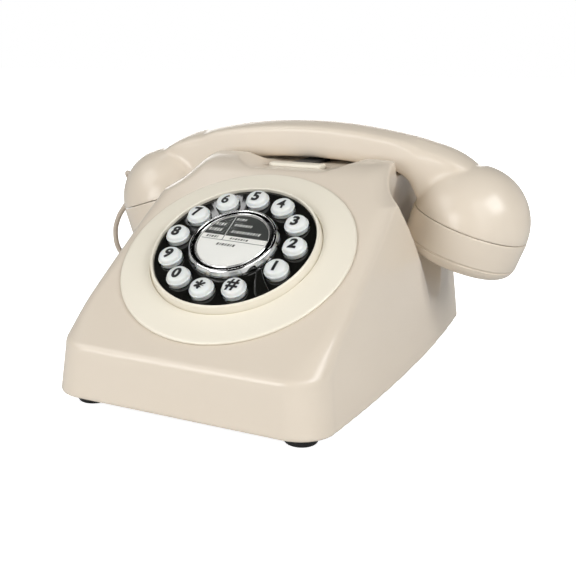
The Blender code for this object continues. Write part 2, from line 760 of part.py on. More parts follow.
def dome_profile():
    points = [(0.0, -dome_radius(0.0))]
    for i in range(1, 9):
        a = 0.5 * math.pi * i / 8.0
        r = dome_radius(a)
        points.append((r * math.sin(a), -r * math.cos(a)))
    return points


def channel_body():
    """Wire channel through the grip that opens into both domes."""
    loops = []
    half = HANDLE_HALF_DEPTH - 6.0 * MM
    for x in (-80, -66, -50, -25, 0, 25, 50, 66, 80):
        drop = max(abs(x) - 50.0, 0.0) * MM
        low = handle_bottom(min(abs(x), 50.0) * MM) + 3.4 * MM - 0.42 * drop
        high = handle_top(min(abs(x), 50.0) * MM) - 4.2 * MM - 0.55 * drop
        spot = HANDSET_X + x * MM
        loops.append([(spot, SEAT_Y - half, low), (spot, SEAT_Y + half, low),
                      (spot, SEAT_Y + half, high), (spot, SEAT_Y - half, high)])
    return loft(loops)


def build_handset(mats):
    xs = [0, 20, 40, 51, 57, 61, 63.6, 71, 80, 88, 95, 100, 104]
    loops = []
    for x in [-v for v in reversed(xs[1:])] + xs:
        a = abs(x)
        low = handle_bottom(x * MM) if a <= HANDLE_MEETS_DOME else HANDLE_ROOT_Z
        half = HANDLE_HALF_DEPTH * (1.0 - 0.78 * smoothstep(a, 64.0, 112.0))
        loops.append(handle_section(HANDSET_X + x * MM, low, handle_top(x * MM), half))
    body = finish("handset_body", loft(loops), mats["cream"])
    for side in (-1.0, 1.0):
        dome = lathe(dome_profile() + [(0.0, 0.0)], 28)
        add(body, moved(dome, seat_matrix(side)))
        r = SEAM_RADIUS - DOME_WALL
        hollow = [(0.0, -r * 0.86), (r * 0.5, -r * 0.78), (r * 0.8, -r * 0.52), (r, -r * 0.1),
                  (r, 3.0 * MM), (0.0, 3.0 * MM)]
        cut(body, moved(lathe(hollow, 20), seat_matrix(side)))
    cut(body, channel_body())
    cut(body, moved(cylinder(3.1 * MM, -8.0 * MM, 4.0 * MM, 20), sleeve_matrix()))
    tidy(body)
    return body


def build_caps(mats):
    r = SEAM_RADIUS
    low = GAP
    height = CAP_HEIGHT
    outline = [(r - CAP_WALL, low), (r - 0.1 * MM, low), (r, low + 0.5 * MM), (r - 0.3 * MM, 15.0 * MM),
               (r - 0.9 * MM, 15.3 * MM), (r - 0.9 * MM, 15.9 * MM), (r - 0.5 * MM, 16.2 * MM),
               (r - 1.4 * MM, 18.6 * MM), (r - 3.4 * MM, 20.8 * MM), (r - 6.5 * MM, height),
               (0.0, height - 1.5 * MM), (0.0, height - 4.0 * MM), (r - 6.5 * MM, height - 2.6 * MM),
               (r - CAP_WALL, 15.0 * MM)]
    for side, name in ((1.0, "earpiece"), (-1.0, "mouthpiece")):
        cap = finish(name + "_cap", lathe(outline, 28), mats["cream"])
        holes = []
        for k in range(HOLE_COUNT):
            a = 2.0 * math.pi * (k + 0.5) / HOLE_COUNT
            spot = Matrix.Translation((HOLE_RING * math.cos(a), HOLE_RING * math.sin(a), 0.0))
            holes.append(moved(cylinder(HOLE_RADIUS, height - HOLE_DEPTH, height + 3.0 * MM, 6), spot))
        cut(cap, joined(holes))
        tidy(cap)
        place = seat_matrix(side)
        cap.location = place.to_translation()
        cap.rotation_euler = place.to_euler()
        capsule = lathe([(0.0, CAPSULE_LOW), (CAPSULE_RADIUS, CAPSULE_LOW),
                         (CAPSULE_RADIUS, CAPSULE_STEP - 0.5 * MM), (CAPSULE_FLANGE, CAPSULE_STEP),
                         (CAPSULE_FLANGE, CAPSULE_TOP - 1.0 * MM), (0.0, CAPSULE_TOP)], 20)
        inner = finish("receiver_capsule" if side > 0 else "transmitter_capsule", capsule, mats["steel"])
        inner.location = place.to_translation()
        inner.rotation_euler = place.to_euler()


def build_handset_fittings(mats):
    weight = round_edges(box((44.0 * MM, 12.0 * MM, 6.0 * MM), (0.0, 0.0, 0.0)), 0.8 * MM)
    obj = finish("handset_weight", weight, mats["steel"])
    obj.location = (HANDSET_X, SEAT_Y, HANDLE_WEIGHT_Z)
    outline = [(0.0, SLEEVE_INNER_END), (SLEEVE_SHANK, SLEEVE_INNER_END), (SLEEVE_SHANK, GAP),
               (SLEEVE_COLLAR, GAP), (SLEEVE_COLLAR, 2.2 * MM), (3.4 * MM, 3.0 * MM),
               (2.4 * MM, SLEEVE_LENGTH), (0.0, SLEEVE_LENGTH)]
    sleeve = finish("handset_cord_sleeve", lathe(outline, 20), mats["cream"])
    place = sleeve_matrix()
    sleeve.location = place.to_translation()
    sleeve.rotation_euler = place.to_euler()


def sleeve_matrix():
    """Cord entry on the outer end of the mouthpiece dome; Z points outwards."""
    out = Vector(SLEEVE_DIRECTION).normalized()
    spot = Vector((HANDSET_X - SEAT_X, SEAT_Y, SEAT_Z)) + out * SLEEVE_REACH
    return Matrix.Translation(spot) @ out.to_track_quat("Z", "Y").to_matrix().to_4x4()


# ======================= hook switch =====================================
def build_hook(mats):
    plate = box((BAR_WIDTH, BAR_DEPTH, BAR_THICK),
                (0.0, BAR_FRONT_Y + 0.5 * BAR_DEPTH, BAR_TOP - 0.5 * BAR_THICK))
    bar = finish("hook_bar", round_edges(plate, 0.8 * MM), mats["ivory"])
    start = BAR_FRONT_Y + 0.6 * BAR_DEPTH
    length = TONGUE_REAR_Y - start
    tongue = box((TONGUE_WIDTH, length, TONGUE_THICK),
                 (0.0, start + 0.5 * length, TONGUE_TOP - 0.5 * TONGUE_THICK))
    add(bar, tongue)
    stem = cylinder(STEM_RADIUS, HOOK_STEM_LOW, TONGUE_TOP - 0.5 * TONGUE_THICK, 16)
    add(bar, moved(stem, Matrix.Translation((0.0, HOOK_Y, 0.0))))
    tidy(bar)
    turns = 5
    steps = 10
    coil = HOOK_SPRING_TOP - HOOK_SPRING_LOW
    loops = []
    for i in range(turns * steps + 1):
        a = 2.0 * math.pi * i / steps
        t = i / (turns * steps)
        centre = Vector((SPRING_RADIUS * math.cos(a), SPRING_RADIUS * math.sin(a), t * coil))
        out = Vector((math.cos(a), math.sin(a), 0.0))
        up = Vector((0.0, 0.0, 1.0))
        loop = []
        for k in range(4):
            b = 2.0 * math.pi * k / 4.0
            loop.append(centre + out * (WIRE_RADIUS * math.cos(b)) + up * (WIRE_RADIUS * math.sin(b)))
        loops.append(loop)
    spring = finish("hook_spring", loft(loops), mats["steel"])
    spring.location = (0.0, HOOK_Y, HOOK_SPRING_LOW)
    body = round_edges(box((20.0 * MM, 10.0 * MM, 12.0 * MM), (0.0, 0.0, 0.0)), 0.6 * MM)
    switch = finish("hook_microswitch", body, mats["dark"])
    switch.location = (0.0, HOOK_Y, HOOK_STEM_LOW - HOOK_TRAVEL - 7.0 * MM)


# ======================= sockets, cord, electronics ======================
def build_sockets(mats):
    gap2 = 2.0 * GAP
    size = (13.0 * MM, JACK_OPENING[1] - gap2, JACK_OPENING[2] - gap2)
    x = -panel_x(JACK_Y, JACK_Z) + 0.4 * MM + 0.5 * size[0]
    jack = finish("handset_jack", box(size, (0.0, 0.0, 0.0)), mats["dark"])
    cut(jack, box((2.0 * 8.5 * MM, 7.4 * MM, 6.8 * MM), (-0.5 * size[0], 0.0, 0.0)))
    tidy(jack)
    jack.location = (x, JACK_Y, JACK_Z)
    plug_size = (12.0 * MM, 6.8 * MM, 6.2 * MM)
    plug = round_edges(box(plug_size, (0.0, 0.0, 0.0)), 0.5 * MM)
    plug_obj = finish("cord_plug", plug, mats["lens"])
    plug_obj.location = (x - 0.5 * size[0] + 8.2 * MM - 0.5 * plug_size[0], JACK_Y, JACK_Z)
    size = (LINE_OPENING[0] - gap2, 13.0 * MM, LINE_OPENING[2] - gap2)
    line = finish("line_jack", box(size, (0.0, 0.0, 0.0)), mats["dark"])
    cut(line, box((7.4 * MM, 2.0 * 9.0 * MM, 6.8 * MM), (0.0, 0.5 * size[1], 0.0)))
    tidy(line)
    line.location = (LINE_X, rear_y(JACK_Z) - 0.3 * MM - 0.5 * size[1], JACK_Z)
    knob = round_edges(box((6.0 * MM, 5.0 * MM, 3.6 * MM), (0.0, 0.0, 0.0)), 0.4 * MM)
    slider = finish("ringer_switch", knob, mats["dark"])
    slider.location = (SWITCH_X - SWITCH_TRAVEL * 0.5, rear_y(JACK_Z) + 0.6 * MM - 1.2 * MM, JACK_Z)


def cord_path():
    """Spine of the hanging cord from the handset to the plug."""
    tip = sleeve_matrix() @ Vector((0.0, 0.0, SLEEVE_LENGTH + 2.0 * GAP))
    way = sleeve_matrix() @ Vector((0.0, 0.0, SLEEVE_LENGTH + 3.6 * MM))
    plug_x = -panel_x(JACK_Y, JACK_Z) + 0.4 * MM + 8.2 * MM - 12.0 * MM - GAP
    end = Vector((plug_x, JACK_Y, JACK_Z))
    return [tip, way] + [Vector(p) * MM for p in CORD_KNOTS] + [end + Vector((-9.0 * MM, 0.0, 0.0)), end]


def smooth_path(knots, steps):
    """Catmull-Rom samples through the knots."""
    pts = [knots[0] * 2.0 - knots[1]] + knots + [knots[-1] * 2.0 - knots[-2]]
    out = []
    for i in range(1, len(pts) - 2):
        p0, p1, p2, p3 = pts[i - 1:i + 3]
        for k in range(steps):
            t = k / steps
            out.append(0.5 * ((2.0 * p1) + (p2 - p0) * t + (2.0 * p0 - 5.0 * p1 + 4.0 * p2 - p3) * t * t
                              + (3.0 * p1 - p0 - 3.0 * p2 + p3) * t ** 3))
    out.append(pts[-2])
    return out


def tube(points, radius, sides):
    loops = []
    normal = Vector((0.0, 1.0, 0.0))
    for i, point in enumerate(points):
        ahead = points[min(i + 1, len(points) - 1)] - points[max(i - 1, 0)]
        ahead.normalize()
        normal = (normal - ahead * normal.dot(ahead)).normalized()
        other = ahead.cross(normal)
        loop = []
        for k in range(sides):
            a = 2.0 * math.pi * k / sides
            loop.append(point + normal * (radius * math.cos(a)) + other * (radius * math.sin(a)))
        loops.append(loop)
    return loft(loops)


def build_cord(mats):
    finish("handset_cord", tube(smooth_path(cord_path(), 4), CORD_RADIUS, 6), mats["cord"])


def build_electronics(mats):
    board = finish("main_board", box(BOARD_SIZE, (0.0, 0.0, 0.0)), mats["board"])
    board.location = (0.0, BOARD_Y, BOARD_LOW + 0.5 * BOARD_SIZE[2])
    outline = [(0.0, GONG_HEIGHT), (0.0, GONG_HEIGHT - GONG_WALL)]
    inner = []
    outer = []
    for i in range(1, 6):
        a = 0.5 * math.pi * i / 5.0
        inner.append(((GONG_RADIUS - GONG_WALL) * math.sin(a), (GONG_HEIGHT - GONG_WALL) * math.cos(a)))
        outer.append((GONG_RADIUS * math.sin(a), GONG_HEIGHT * math.cos(a)))
    outline = outline + inner + list(reversed(outer))
    for side, name in ((-1.0, "gong_left"), (1.0, "gong_right")):
        gong = finish(name, lathe(outline, 18), mats["brass"])
        gong.location = (side * GONG_X, GONG_Y, GONG_Z)
        post = lathe([(0.0, BASE_HIGH + GAP), (5.0 * MM, BASE_HIGH + GAP), (3.0 * MM, BASE_HIGH + 4.0 * MM),
                      (3.0 * MM, GONG_Z + GONG_HEIGHT - GONG_WALL - GAP),
                      (0.0, GONG_Z + GONG_HEIGHT - GONG_WALL - GAP)], 12)
        stand = finish(name + "_post", post, mats["steel"])
        stand.location = (side * GONG_X, GONG_Y, 0.0)
    coil = finish("ringer_coil", cylinder(9.0 * MM, -11.0 * MM, 11.0 * MM, 24), mats["copper"])
    coil.rotation_euler = (0.5 * math.pi, 0.0, 0.0)
    coil.location = (0.0, COIL_Y, BASE_HIGH + GAP + 9.0 * MM)
    rod = [Vector((0.0, 0.0, 0.0)), Vector((0.0, -10.0 * MM, 0.0)), Vector((0.0, -HAMMER_REACH, 0.0))]
    hammer = finish("ringer_hammer", tube(rod, 1.0 * MM, 8), mats["steel"])
    ball = lathe([(0.0, -3.0 * MM)] + [(3.0 * MM * math.sin(a), -3.0 * MM * math.cos(a))
                 for a in [math.pi * i / 8.0 for i in range(1, 8)]] + [(0.0, 3.0 * MM)], 14)
    add(hammer, moved(ball, Matrix.Translation((0.0, -HAMMER_REACH, 0.0))))
    tidy(hammer)
    hammer.location = (0.0, HAMMER_Y, HAMMER_Z)


def shift_to_table_origin():
    for obj in bpy.data.objects:
        obj.location += Vector(TABLE_SHIFT)


def main():
    clear_scene()
    mats = {
        "cream": material("cream_plastic", (0.80, 0.70, 0.58), 0.30),
        "ivory": material("ivory_plastic", (0.90, 0.84, 0.71), 0.30),
        "black": material("black_gloss", (0.012, 0.012, 0.012), 0.12),
        "key": material("key_white", (0.82, 0.83, 0.82), 0.25),
        "chrome": material("chrome", (0.78, 0.78, 0.78), 0.12, 1.0),
        "satin": material("satin_metal", (0.70, 0.70, 0.70), 0.25, 1.0),
        "label": material("label_card", (0.85, 0.84, 0.80), 0.60),
        "lens": material("clear_lens", (0.88, 0.90, 0.90), 0.08),
        "rubber": material("black_rubber", (0.02, 0.02, 0.02), 0.80),
        "dark": material("dark_plastic", (0.05, 0.05, 0.05), 0.55),
        "steel": material("steel", (0.55, 0.55, 0.56), 0.35, 1.0),
        "brass": material("brass", (0.62, 0.46, 0.20), 0.30, 1.0),
        "board": material("circuit_board", (0.05, 0.22, 0.10), 0.50),
        "mat": material("grey_silicone", (0.30, 0.31, 0.33), 0.70),
        "copper": material("copper_winding", (0.45, 0.20, 0.08), 0.40, 0.8),
        "cord": material("cord_vinyl", (0.66, 0.56, 0.47), 0.40),
    }
    build_case(mats["cream"])
    build_base(mats)
    build_dial(mats)
    build_keys(mats)
    build_redial(mats)
    build_stop(mats)
    build_handset(mats)
    build_caps(mats)
    build_handset_fittings(mats)
    build_hook(mats)
    build_sockets(mats)
    build_cord(mats)
    build_electronics(mats)
    shift_to_table_origin()


main()
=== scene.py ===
"""Looks of the push-button desk telephone: fine shapes, materials, light and camera."""

import math

import bmesh
import bpy
import numpy as np
from mathutils import Matrix, Vector


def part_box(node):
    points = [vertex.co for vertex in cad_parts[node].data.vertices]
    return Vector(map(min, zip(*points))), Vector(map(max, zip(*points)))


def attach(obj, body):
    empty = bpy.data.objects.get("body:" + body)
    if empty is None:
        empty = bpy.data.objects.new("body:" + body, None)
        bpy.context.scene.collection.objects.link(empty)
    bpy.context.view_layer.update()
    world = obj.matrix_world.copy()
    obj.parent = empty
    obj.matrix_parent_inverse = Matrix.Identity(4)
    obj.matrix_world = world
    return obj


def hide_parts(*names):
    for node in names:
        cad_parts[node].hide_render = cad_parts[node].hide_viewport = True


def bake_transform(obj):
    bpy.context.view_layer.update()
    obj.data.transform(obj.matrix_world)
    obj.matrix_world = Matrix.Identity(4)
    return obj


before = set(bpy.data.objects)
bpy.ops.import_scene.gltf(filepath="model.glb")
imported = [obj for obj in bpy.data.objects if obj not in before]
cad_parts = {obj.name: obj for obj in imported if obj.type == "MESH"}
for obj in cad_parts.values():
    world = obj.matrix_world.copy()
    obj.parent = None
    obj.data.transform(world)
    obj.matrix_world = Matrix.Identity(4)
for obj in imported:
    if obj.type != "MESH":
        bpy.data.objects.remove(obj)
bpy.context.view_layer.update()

MM = 0.001
case_low, case_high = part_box("upper_case")
# The shapes below are laid out about an origin in the case's middle plane, this far behind its front wall.
ORIGIN_DEPTH = 79.0 * MM
SHIFT = Matrix.Translation((0.5 * (case_low.x + case_high.x), case_low.y + ORIGIN_DEPTH, 0.0))


# ---- helpers ----
def mix(a, b, t):
    return a + (b - a) * t


def smoothstep(value, low, high):
    t = min(max((value - low) / (high - low), 0.0), 1.0)
    return t * t * (3.0 - 2.0 * t)


def fade(values, start, width):
    """0 up to start, rising evenly to 1 over the width, for an array."""
    return np.clip((values - start) / width, 0.0, 1.0)


def scaled(values):
    """Lengths in mm as metres."""
    return tuple(value * MM for value in values)


def loft(loops):
    """Skin through loops of equal length, closed at both ends."""
    bm = bmesh.new()
    rings = [[bm.verts.new(p) for p in loop] for loop in loops]
    count = len(rings[0])
    for lower, upper in zip(rings, rings[1:]):
        for i in range(count):
            j = (i + 1) % count
            bm.faces.new((lower[i], lower[j], upper[j], upper[i]))
    bm.faces.new(list(reversed(rings[0])))
    bm.faces.new(rings[-1])
    return bm


def lathe(profile, segments):
    """Turns a (radius, height) outline in mm about Z; it closes on itself unless it ends on the axis."""
    bm = bmesh.new()
    rings = []
    for radius, height in profile:
        if radius <= 1e-6:
            rings.append([bm.verts.new((0.0, 0.0, height * MM))])
            continue
        rings.append([bm.verts.new((radius * MM * math.cos(2 * math.pi * k / segments),
                                    radius * MM * math.sin(2 * math.pi * k / segments), height * MM))
                      for k in range(segments)])
    pairs = list(zip(rings, rings[1:]))
    if len(rings[0]) > 1 or len(rings[-1]) > 1:
        pairs.append((rings[-1], rings[0]))
    for one, two in pairs:
        if len(one) == 1 and len(two) == 1:
            continue
        for k in range(segments):
            j = (k + 1) % segments
            if len(one) == 1:
                bm.faces.new((one[0], two[j], two[k]))
            elif len(two) == 1:
                bm.faces.new((one[k], one[j], two[0]))
            else:
                bm.faces.new((one[k], one[j], two[j], two[k]))
    return bm


def cylinder(radius, low, high, segments):
    """Plain cylinder on Z, in mm."""
    return lathe([(0.0, low), (radius, low), (radius, high), (0.0, high)], segments)


def rounded(points, radius, steps=5):
    """Outline with every inner corner turned into a short curve; a point may carry its own reach."""
    out = [points[0][:2]]
    for i in range(1, len(points) - 1):
        r = points[i][2] if len(points[i]) > 2 else radius
        a, b, c = (Vector(points[k][:2]) for k in (i - 1, i, i + 1))
        one, two = (a - b), (c - b)
        reach = min(r, 0.49 * one.length, 0.49 * two.length)
        one.normalize()
        two.normalize()
        for k in range(steps + 1):
            t = k / steps
            p = (b + one * reach) * (1 - t) ** 2 + b * 2 * t * (1 - t) + (b + two * reach) * t * t
            out.append((p.x, p.y))
    out.append(points[-1][:2])
    return out


def new_object(name, data):
    obj = bpy.data.objects.new(name, data)
    bpy.context.scene.collection.objects.link(obj)
    return obj


def smooth(obj, angle):
    """Shades smooth; edges sharper than the angle stay sharp."""
    obj.data.shade_smooth()
    obj.data.set_sharp_from_angle(angle=math.radians(angle))


def to_object(name, bm, angle=40.0):
    """New smooth object with its faces turned out; the bmesh is used up."""
    bmesh.ops.recalc_face_normals(bm, faces=bm.faces)
    mesh = bpy.data.meshes.new(name)
    bm.to_mesh(mesh)
    bm.free()
    obj = new_object(name, mesh)
    smooth(obj, angle)
    return obj


def bmesh_of(obj):
    bm = bmesh.new()
    bm.from_mesh(obj.data)
    return bm


def joined(parts):
    """Several bmeshes gathered into one; they are used up."""
    bm = bmesh.new()
    for part in parts:
        mesh = bpy.data.meshes.new("gather")
        part.to_mesh(mesh)
        part.free()
        bm.from_mesh(mesh)
        bpy.data.meshes.remove(mesh)
    return bm


def box(size, centre):
    bm = bmesh.new()
    bmesh.ops.create_cube(bm, size=1.0)
    bmesh.ops.scale(bm, vec=size, verts=bm.verts)
    bmesh.ops.translate(bm, vec=centre, verts=bm.verts)
    return bm


def moved(bm, matrix):
    bmesh.ops.transform(bm, matrix=matrix, verts=bm.verts)
    return bm


def applied(obj):
    """Bakes the modifiers of a new object into its mesh."""
    graph = bpy.context.evaluated_depsgraph_get()
    graph.update()
    mesh = bpy.data.meshes.new_from_object(obj.evaluated_get(graph))
    obj.modifiers.clear()
    old = obj.data
    obj.data = mesh
    bpy.data.meshes.remove(old)
    return obj


def boolean(obj, tool_bm, operation="DIFFERENCE"):
    """Cuts the tool out of the piece, or adds it; the tool is used up."""
    tool = to_object("tool", tool_bm)
    mod = obj.modifiers.new("cut", "BOOLEAN")
    mod.solver = "EXACT"
    mod.operation = operation
    mod.object = tool
    applied(obj)
    mesh = tool.data
    bpy.data.objects.remove(tool, do_unlink=True)
    bpy.data.meshes.remove(mesh)
    return obj


def remeshed(obj, voxel):
    """Welds overlapping shapes into one skin of even faces."""
    mod = obj.modifiers.new("remesh", "REMESH")
    mod.mode = "VOXEL"
    mod.voxel_size = voxel
    return applied(obj)


# With a weight, the way back out is shortened by this share, so that edges stay rounder.
RELAX_IN, RELAX_OUT, RELAX_OUT_SHARE = 0.62, -0.64, 0.55


def walled(obj):
    """Turns a skin into a moulding of the wall's thickness, measured inwards."""
    solid = obj.modifiers.new("wall", "SOLIDIFY")
    solid.thickness = WALL
    solid.offset = -1.0


def relax(obj, steps, weight=None):
    """Evens the skin out, each step in and back out; weight(x, y, z) gives 0 to 1 of the full effect."""
    mesh = obj.data
    count = len(mesh.vertices)
    co = np.empty(count * 3)
    mesh.vertices.foreach_get("co", co)
    co = co.reshape(-1, 3)
    edges = np.empty(len(mesh.edges) * 2, dtype=np.int64)
    mesh.edges.foreach_get("vertices", edges)
    a, b = edges.reshape(-1, 2).T
    degree = np.maximum(np.bincount(a, minlength=count) + np.bincount(b, minlength=count), 1)[:, None]
    w = np.full(count, 1.0) if weight is None else weight(*co.T)
    outward = RELAX_OUT if weight is None else RELAX_OUT * RELAX_OUT_SHARE
    for step in range(steps):
        for factor in (RELAX_IN, outward):
            total = np.empty_like(co)
            for axis in range(3):
                total[:, axis] = (np.bincount(a, weights=co[b, axis], minlength=count)
                                  + np.bincount(b, weights=co[a, axis], minlength=count))
            co = co + (total / degree - co) * (factor * w)[:, None]
    mesh.vertices.foreach_set("co", co.ravel())
    mesh.update()
    return obj


def drop_faces(obj, test):
    bm = bmesh_of(obj)
    bmesh.ops.delete(bm, geom=[f for f in bm.faces if test(f)], context="FACES")
    bm.to_mesh(obj.data)
    bm.free()


def place(obj, body, material, slot, *nodes):
    """Puts a new piece into the frame and onto its body; material None keeps the slots it has."""
    obj.data.transform(SHIFT @ obj.matrix_world)
    obj.matrix_world = Matrix.Identity(4)
    if material:
        obj.data.materials.clear()
        obj.data.materials.append(material)
    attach(obj, body)
    if nodes:
        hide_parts(*nodes)
    return obj


# ---- materials ----
def new_material(name):
    mat = bpy.data.materials.new(name)
    mat.use_nodes = True
    tree = mat.node_tree
    return mat, tree.nodes, tree.links, tree.nodes["Principled BSDF"]


def noise_node(nodes, links, scale, detail=4.0, rough=0.55, stretch=None):
    """Noise fixed to the piece; stretch multiplies its scale along each axis."""
    coord = nodes.new("ShaderNodeTexCoord")
    tex = nodes.new("ShaderNodeTexNoise")
    tex.inputs["Scale"].default_value = scale
    tex.inputs["Detail"].default_value = detail
    tex.inputs["Roughness"].default_value = rough
    source = coord.outputs["Object"]
    if stretch:
        mapping = nodes.new("ShaderNodeMapping")
        mapping.inputs["Scale"].default_value = stretch
        links.new(source, mapping.inputs["Vector"])
        source = mapping.outputs["Vector"]
    links.new(source, tex.inputs["Vector"])
    return tex.outputs["Fac"]


def ramp(nodes, links, source, low, high, start=0.3, end=0.7):
    """Goes from low to high as the source rises from start to end."""
    node = nodes.new("ShaderNodeMapRange")
    node.inputs["From Min"].default_value = start
    node.inputs["From Max"].default_value = end
    node.inputs["To Min"].default_value = low
    node.inputs["To Max"].default_value = high
    links.new(source, node.inputs["Value"])
    return node.outputs["Result"]


def mottle(nodes, links, shader, source, one, two, start=0.3, end=0.7):
    """Colours the surface from one to the other as the source rises from start to end."""
    node = nodes.new("ShaderNodeMix")
    node.data_type = "RGBA"
    node.inputs[6].default_value = (*one, 1.0)
    node.inputs[7].default_value = (*two, 1.0)
    links.new(ramp(nodes, links, source, 0.0, 1.0, start, end), node.inputs[0])
    links.new(node.outputs[2], shader.inputs["Base Color"])


def add_bump(nodes, links, shader, height, distance, strength):
    bump = nodes.new("ShaderNodeBump")
    bump.inputs["Distance"].default_value = distance
    bump.inputs["Strength"].default_value = strength
    links.new(height, bump.inputs["Height"])
    links.new(bump.outputs["Normal"], shader.inputs["Normal"])


def plastic(name, colour, deep, roughness, grain=0.000008, sss=0.0):
    """Moulded plastic: faint flow mottling, uneven sheen, fine mould grain."""
    mat, nodes, links, shader = new_material(name)
    flow = noise_node(nodes, links, 26.0, 3.0, 0.5, (1.0, 0.6, 1.4))
    fine = noise_node(nodes, links, 1900.0, 2.0, 0.6)
    wide = noise_node(nodes, links, 90.0, 5.0, 0.6)
    mottle(nodes, links, shader, flow, colour, deep)
    links.new(ramp(nodes, links, wide, roughness - 0.012, roughness + 0.015), shader.inputs["Roughness"])
    shader.inputs["IOR"].default_value = 1.49
    if sss:
        shader.inputs["Subsurface Weight"].default_value = sss
        shader.inputs["Subsurface Radius"].default_value = (1.0, 0.75, 0.5)
        shader.inputs["Subsurface Scale"].default_value = 0.0016
    add_bump(nodes, links, shader, fine, grain, 0.22)
    return mat


def metal(name, colour, roughness, brushed=None, grain=0.00001):
    """Metal with uneven tarnish; brushed is the stretch of its streaks along each axis."""
    mat, nodes, links, shader = new_material(name)
    wide = noise_node(nodes, links, 140.0, 4.0, 0.6)
    if brushed:
        streak = noise_node(nodes, links, 700.0, 3.0, 0.6, brushed)
    else:
        streak = noise_node(nodes, links, 900.0)
    deep = tuple(c * 0.86 for c in colour)
    mottle(nodes, links, shader, wide, colour, deep)
    links.new(ramp(nodes, links, streak, roughness * 0.7, roughness * 1.35), shader.inputs["Roughness"])
    shader.inputs["Metallic"].default_value = 1.0
    add_bump(nodes, links, shader, streak, grain, 0.3)
    return mat


def rubber(name, colour):
    """Matt rubber with pale dust on it."""
    mat, nodes, links, shader = new_material(name)
    grain = noise_node(nodes, links, 1400.0, 3.0, 0.7)
    dust = noise_node(nodes, links, 220.0, 5.0, 0.7)
    pale = tuple(c * 2.4 + 0.01 for c in colour)
    mottle(nodes, links, shader, dust, colour, pale, 0.5, 0.8)
    links.new(ramp(nodes, links, grain, 0.62, 0.85), shader.inputs["Roughness"])
    add_bump(nodes, links, shader, grain, 0.00008, 0.5)
    return mat


def clear_cover():
    """Thin clear acrylic: see-through, with the sheen of its surface."""
    mat, nodes, links, shader = new_material("clear_acrylic")
    out = nodes["Material Output"]
    nodes.remove(shader)
    scratch = noise_node(nodes, links, 500.0, 6.0, 0.7, (1.0, 6.0, 1.0))
    see = nodes.new("ShaderNodeBsdfTransparent")
    see.inputs["Color"].default_value = (0.985, 0.99, 0.985, 1.0)
    shine = nodes.new("ShaderNodeBsdfGlossy")
    links.new(ramp(nodes, links, scratch, 0.02, 0.07), shine.inputs["Roughness"])
    facing = nodes.new("ShaderNodeLayerWeight")
    facing.inputs["Blend"].default_value = 0.5
    power = nodes.new("ShaderNodeMath")
    power.operation = "POWER"
    power.inputs[1].default_value = 6.0
    links.new(facing.outputs["Facing"], power.inputs[0])
    blend = nodes.new("ShaderNodeMixShader")
    links.new(ramp(nodes, links, power.outputs[0], 0.002, 0.90, 0.0, 1.0), blend.inputs[0])
    links.new(see.outputs[0], blend.inputs[1])
    links.new(shine.outputs[0], blend.inputs[2])
    links.new(blend.outputs[0], out.inputs["Surface"])
    return mat


def board_material():
    """Green solder mask over copper tracks."""
    mat, nodes, links, shader = new_material("circuit_board_green")
    coord = nodes.new("ShaderNodeTexCoord")
    brick = nodes.new("ShaderNodeTexBrick")
    brick.inputs["Scale"].default_value = 160.0
    brick.inputs["Mortar Size"].default_value = 0.03
    brick.inputs["Color1"].default_value = (0.02, 0.16, 0.06, 1.0)
    brick.inputs["Color2"].default_value = (0.03, 0.20, 0.08, 1.0)
    brick.inputs["Mortar"].default_value = (0.10, 0.32, 0.12, 1.0)
    links.new(coord.outputs["Object"], brick.inputs["Vector"])
    links.new(brick.outputs["Color"], shader.inputs["Base Color"])
    shader.inputs["Roughness"].default_value = 0.35
    add_bump(nodes, links, shader, brick.outputs["Fac"], 0.00004, 0.6)
    return mat


CREAM = (0.740, 0.655, 0.545)
CREAM_DEEP = (0.733, 0.647, 0.536)
IVORY = (0.860, 0.805, 0.680)
IVORY_DEEP = (0.853, 0.797, 0.671)
cream = plastic("cream_moulded", CREAM, CREAM_DEEP, 0.245)
ivory = plastic("ivory_moulded", IVORY, IVORY_DEEP, 0.30)
key_white = plastic("key_translucent", (0.80, 0.82, 0.80), (0.76, 0.785, 0.765), 0.16, 0.00001, 0.25)
black = plastic("black_polished", (0.006, 0.006, 0.005), (0.009, 0.009, 0.008), 0.07, 0.000004)
dark = plastic("dark_moulded", (0.030, 0.030, 0.030), (0.045, 0.045, 0.045), 0.45)
cord_vinyl = plastic("vinyl_cord", (0.620, 0.540, 0.455), (0.560, 0.480, 0.395), 0.38)
card = plastic("card_white", (0.900, 0.880, 0.850), (0.880, 0.855, 0.820), 0.45)
ink = plastic("ink_black", (0.012, 0.012, 0.012), (0.020, 0.020, 0.020), 0.35)
charcoal = plastic("card_charcoal", (0.035, 0.037, 0.035), (0.045, 0.047, 0.045), 0.40)
pale_ink = plastic("ink_pale", (0.76, 0.75, 0.72), (0.68, 0.67, 0.65), 0.45)
chrome = metal("chrome_polished", (0.86, 0.86, 0.85), 0.055, None, 0.000003)
steel = metal("steel_plain", (0.56, 0.56, 0.57), 0.30, (1.0, 1.0, 9.0))
brass = metal("brass_bell", (0.66, 0.47, 0.20), 0.22, (1.0, 1.0, 14.0))
copper = metal("copper_wire", (0.72, 0.32, 0.16), 0.28, (1.0, 40.0, 1.0), 0.00006)
black_rubber = rubber("rubber_black", (0.012, 0.012, 0.012))
silicone = rubber("silicone_grey", (0.28, 0.29, 0.31))
clear = clear_cover()
board = board_material()


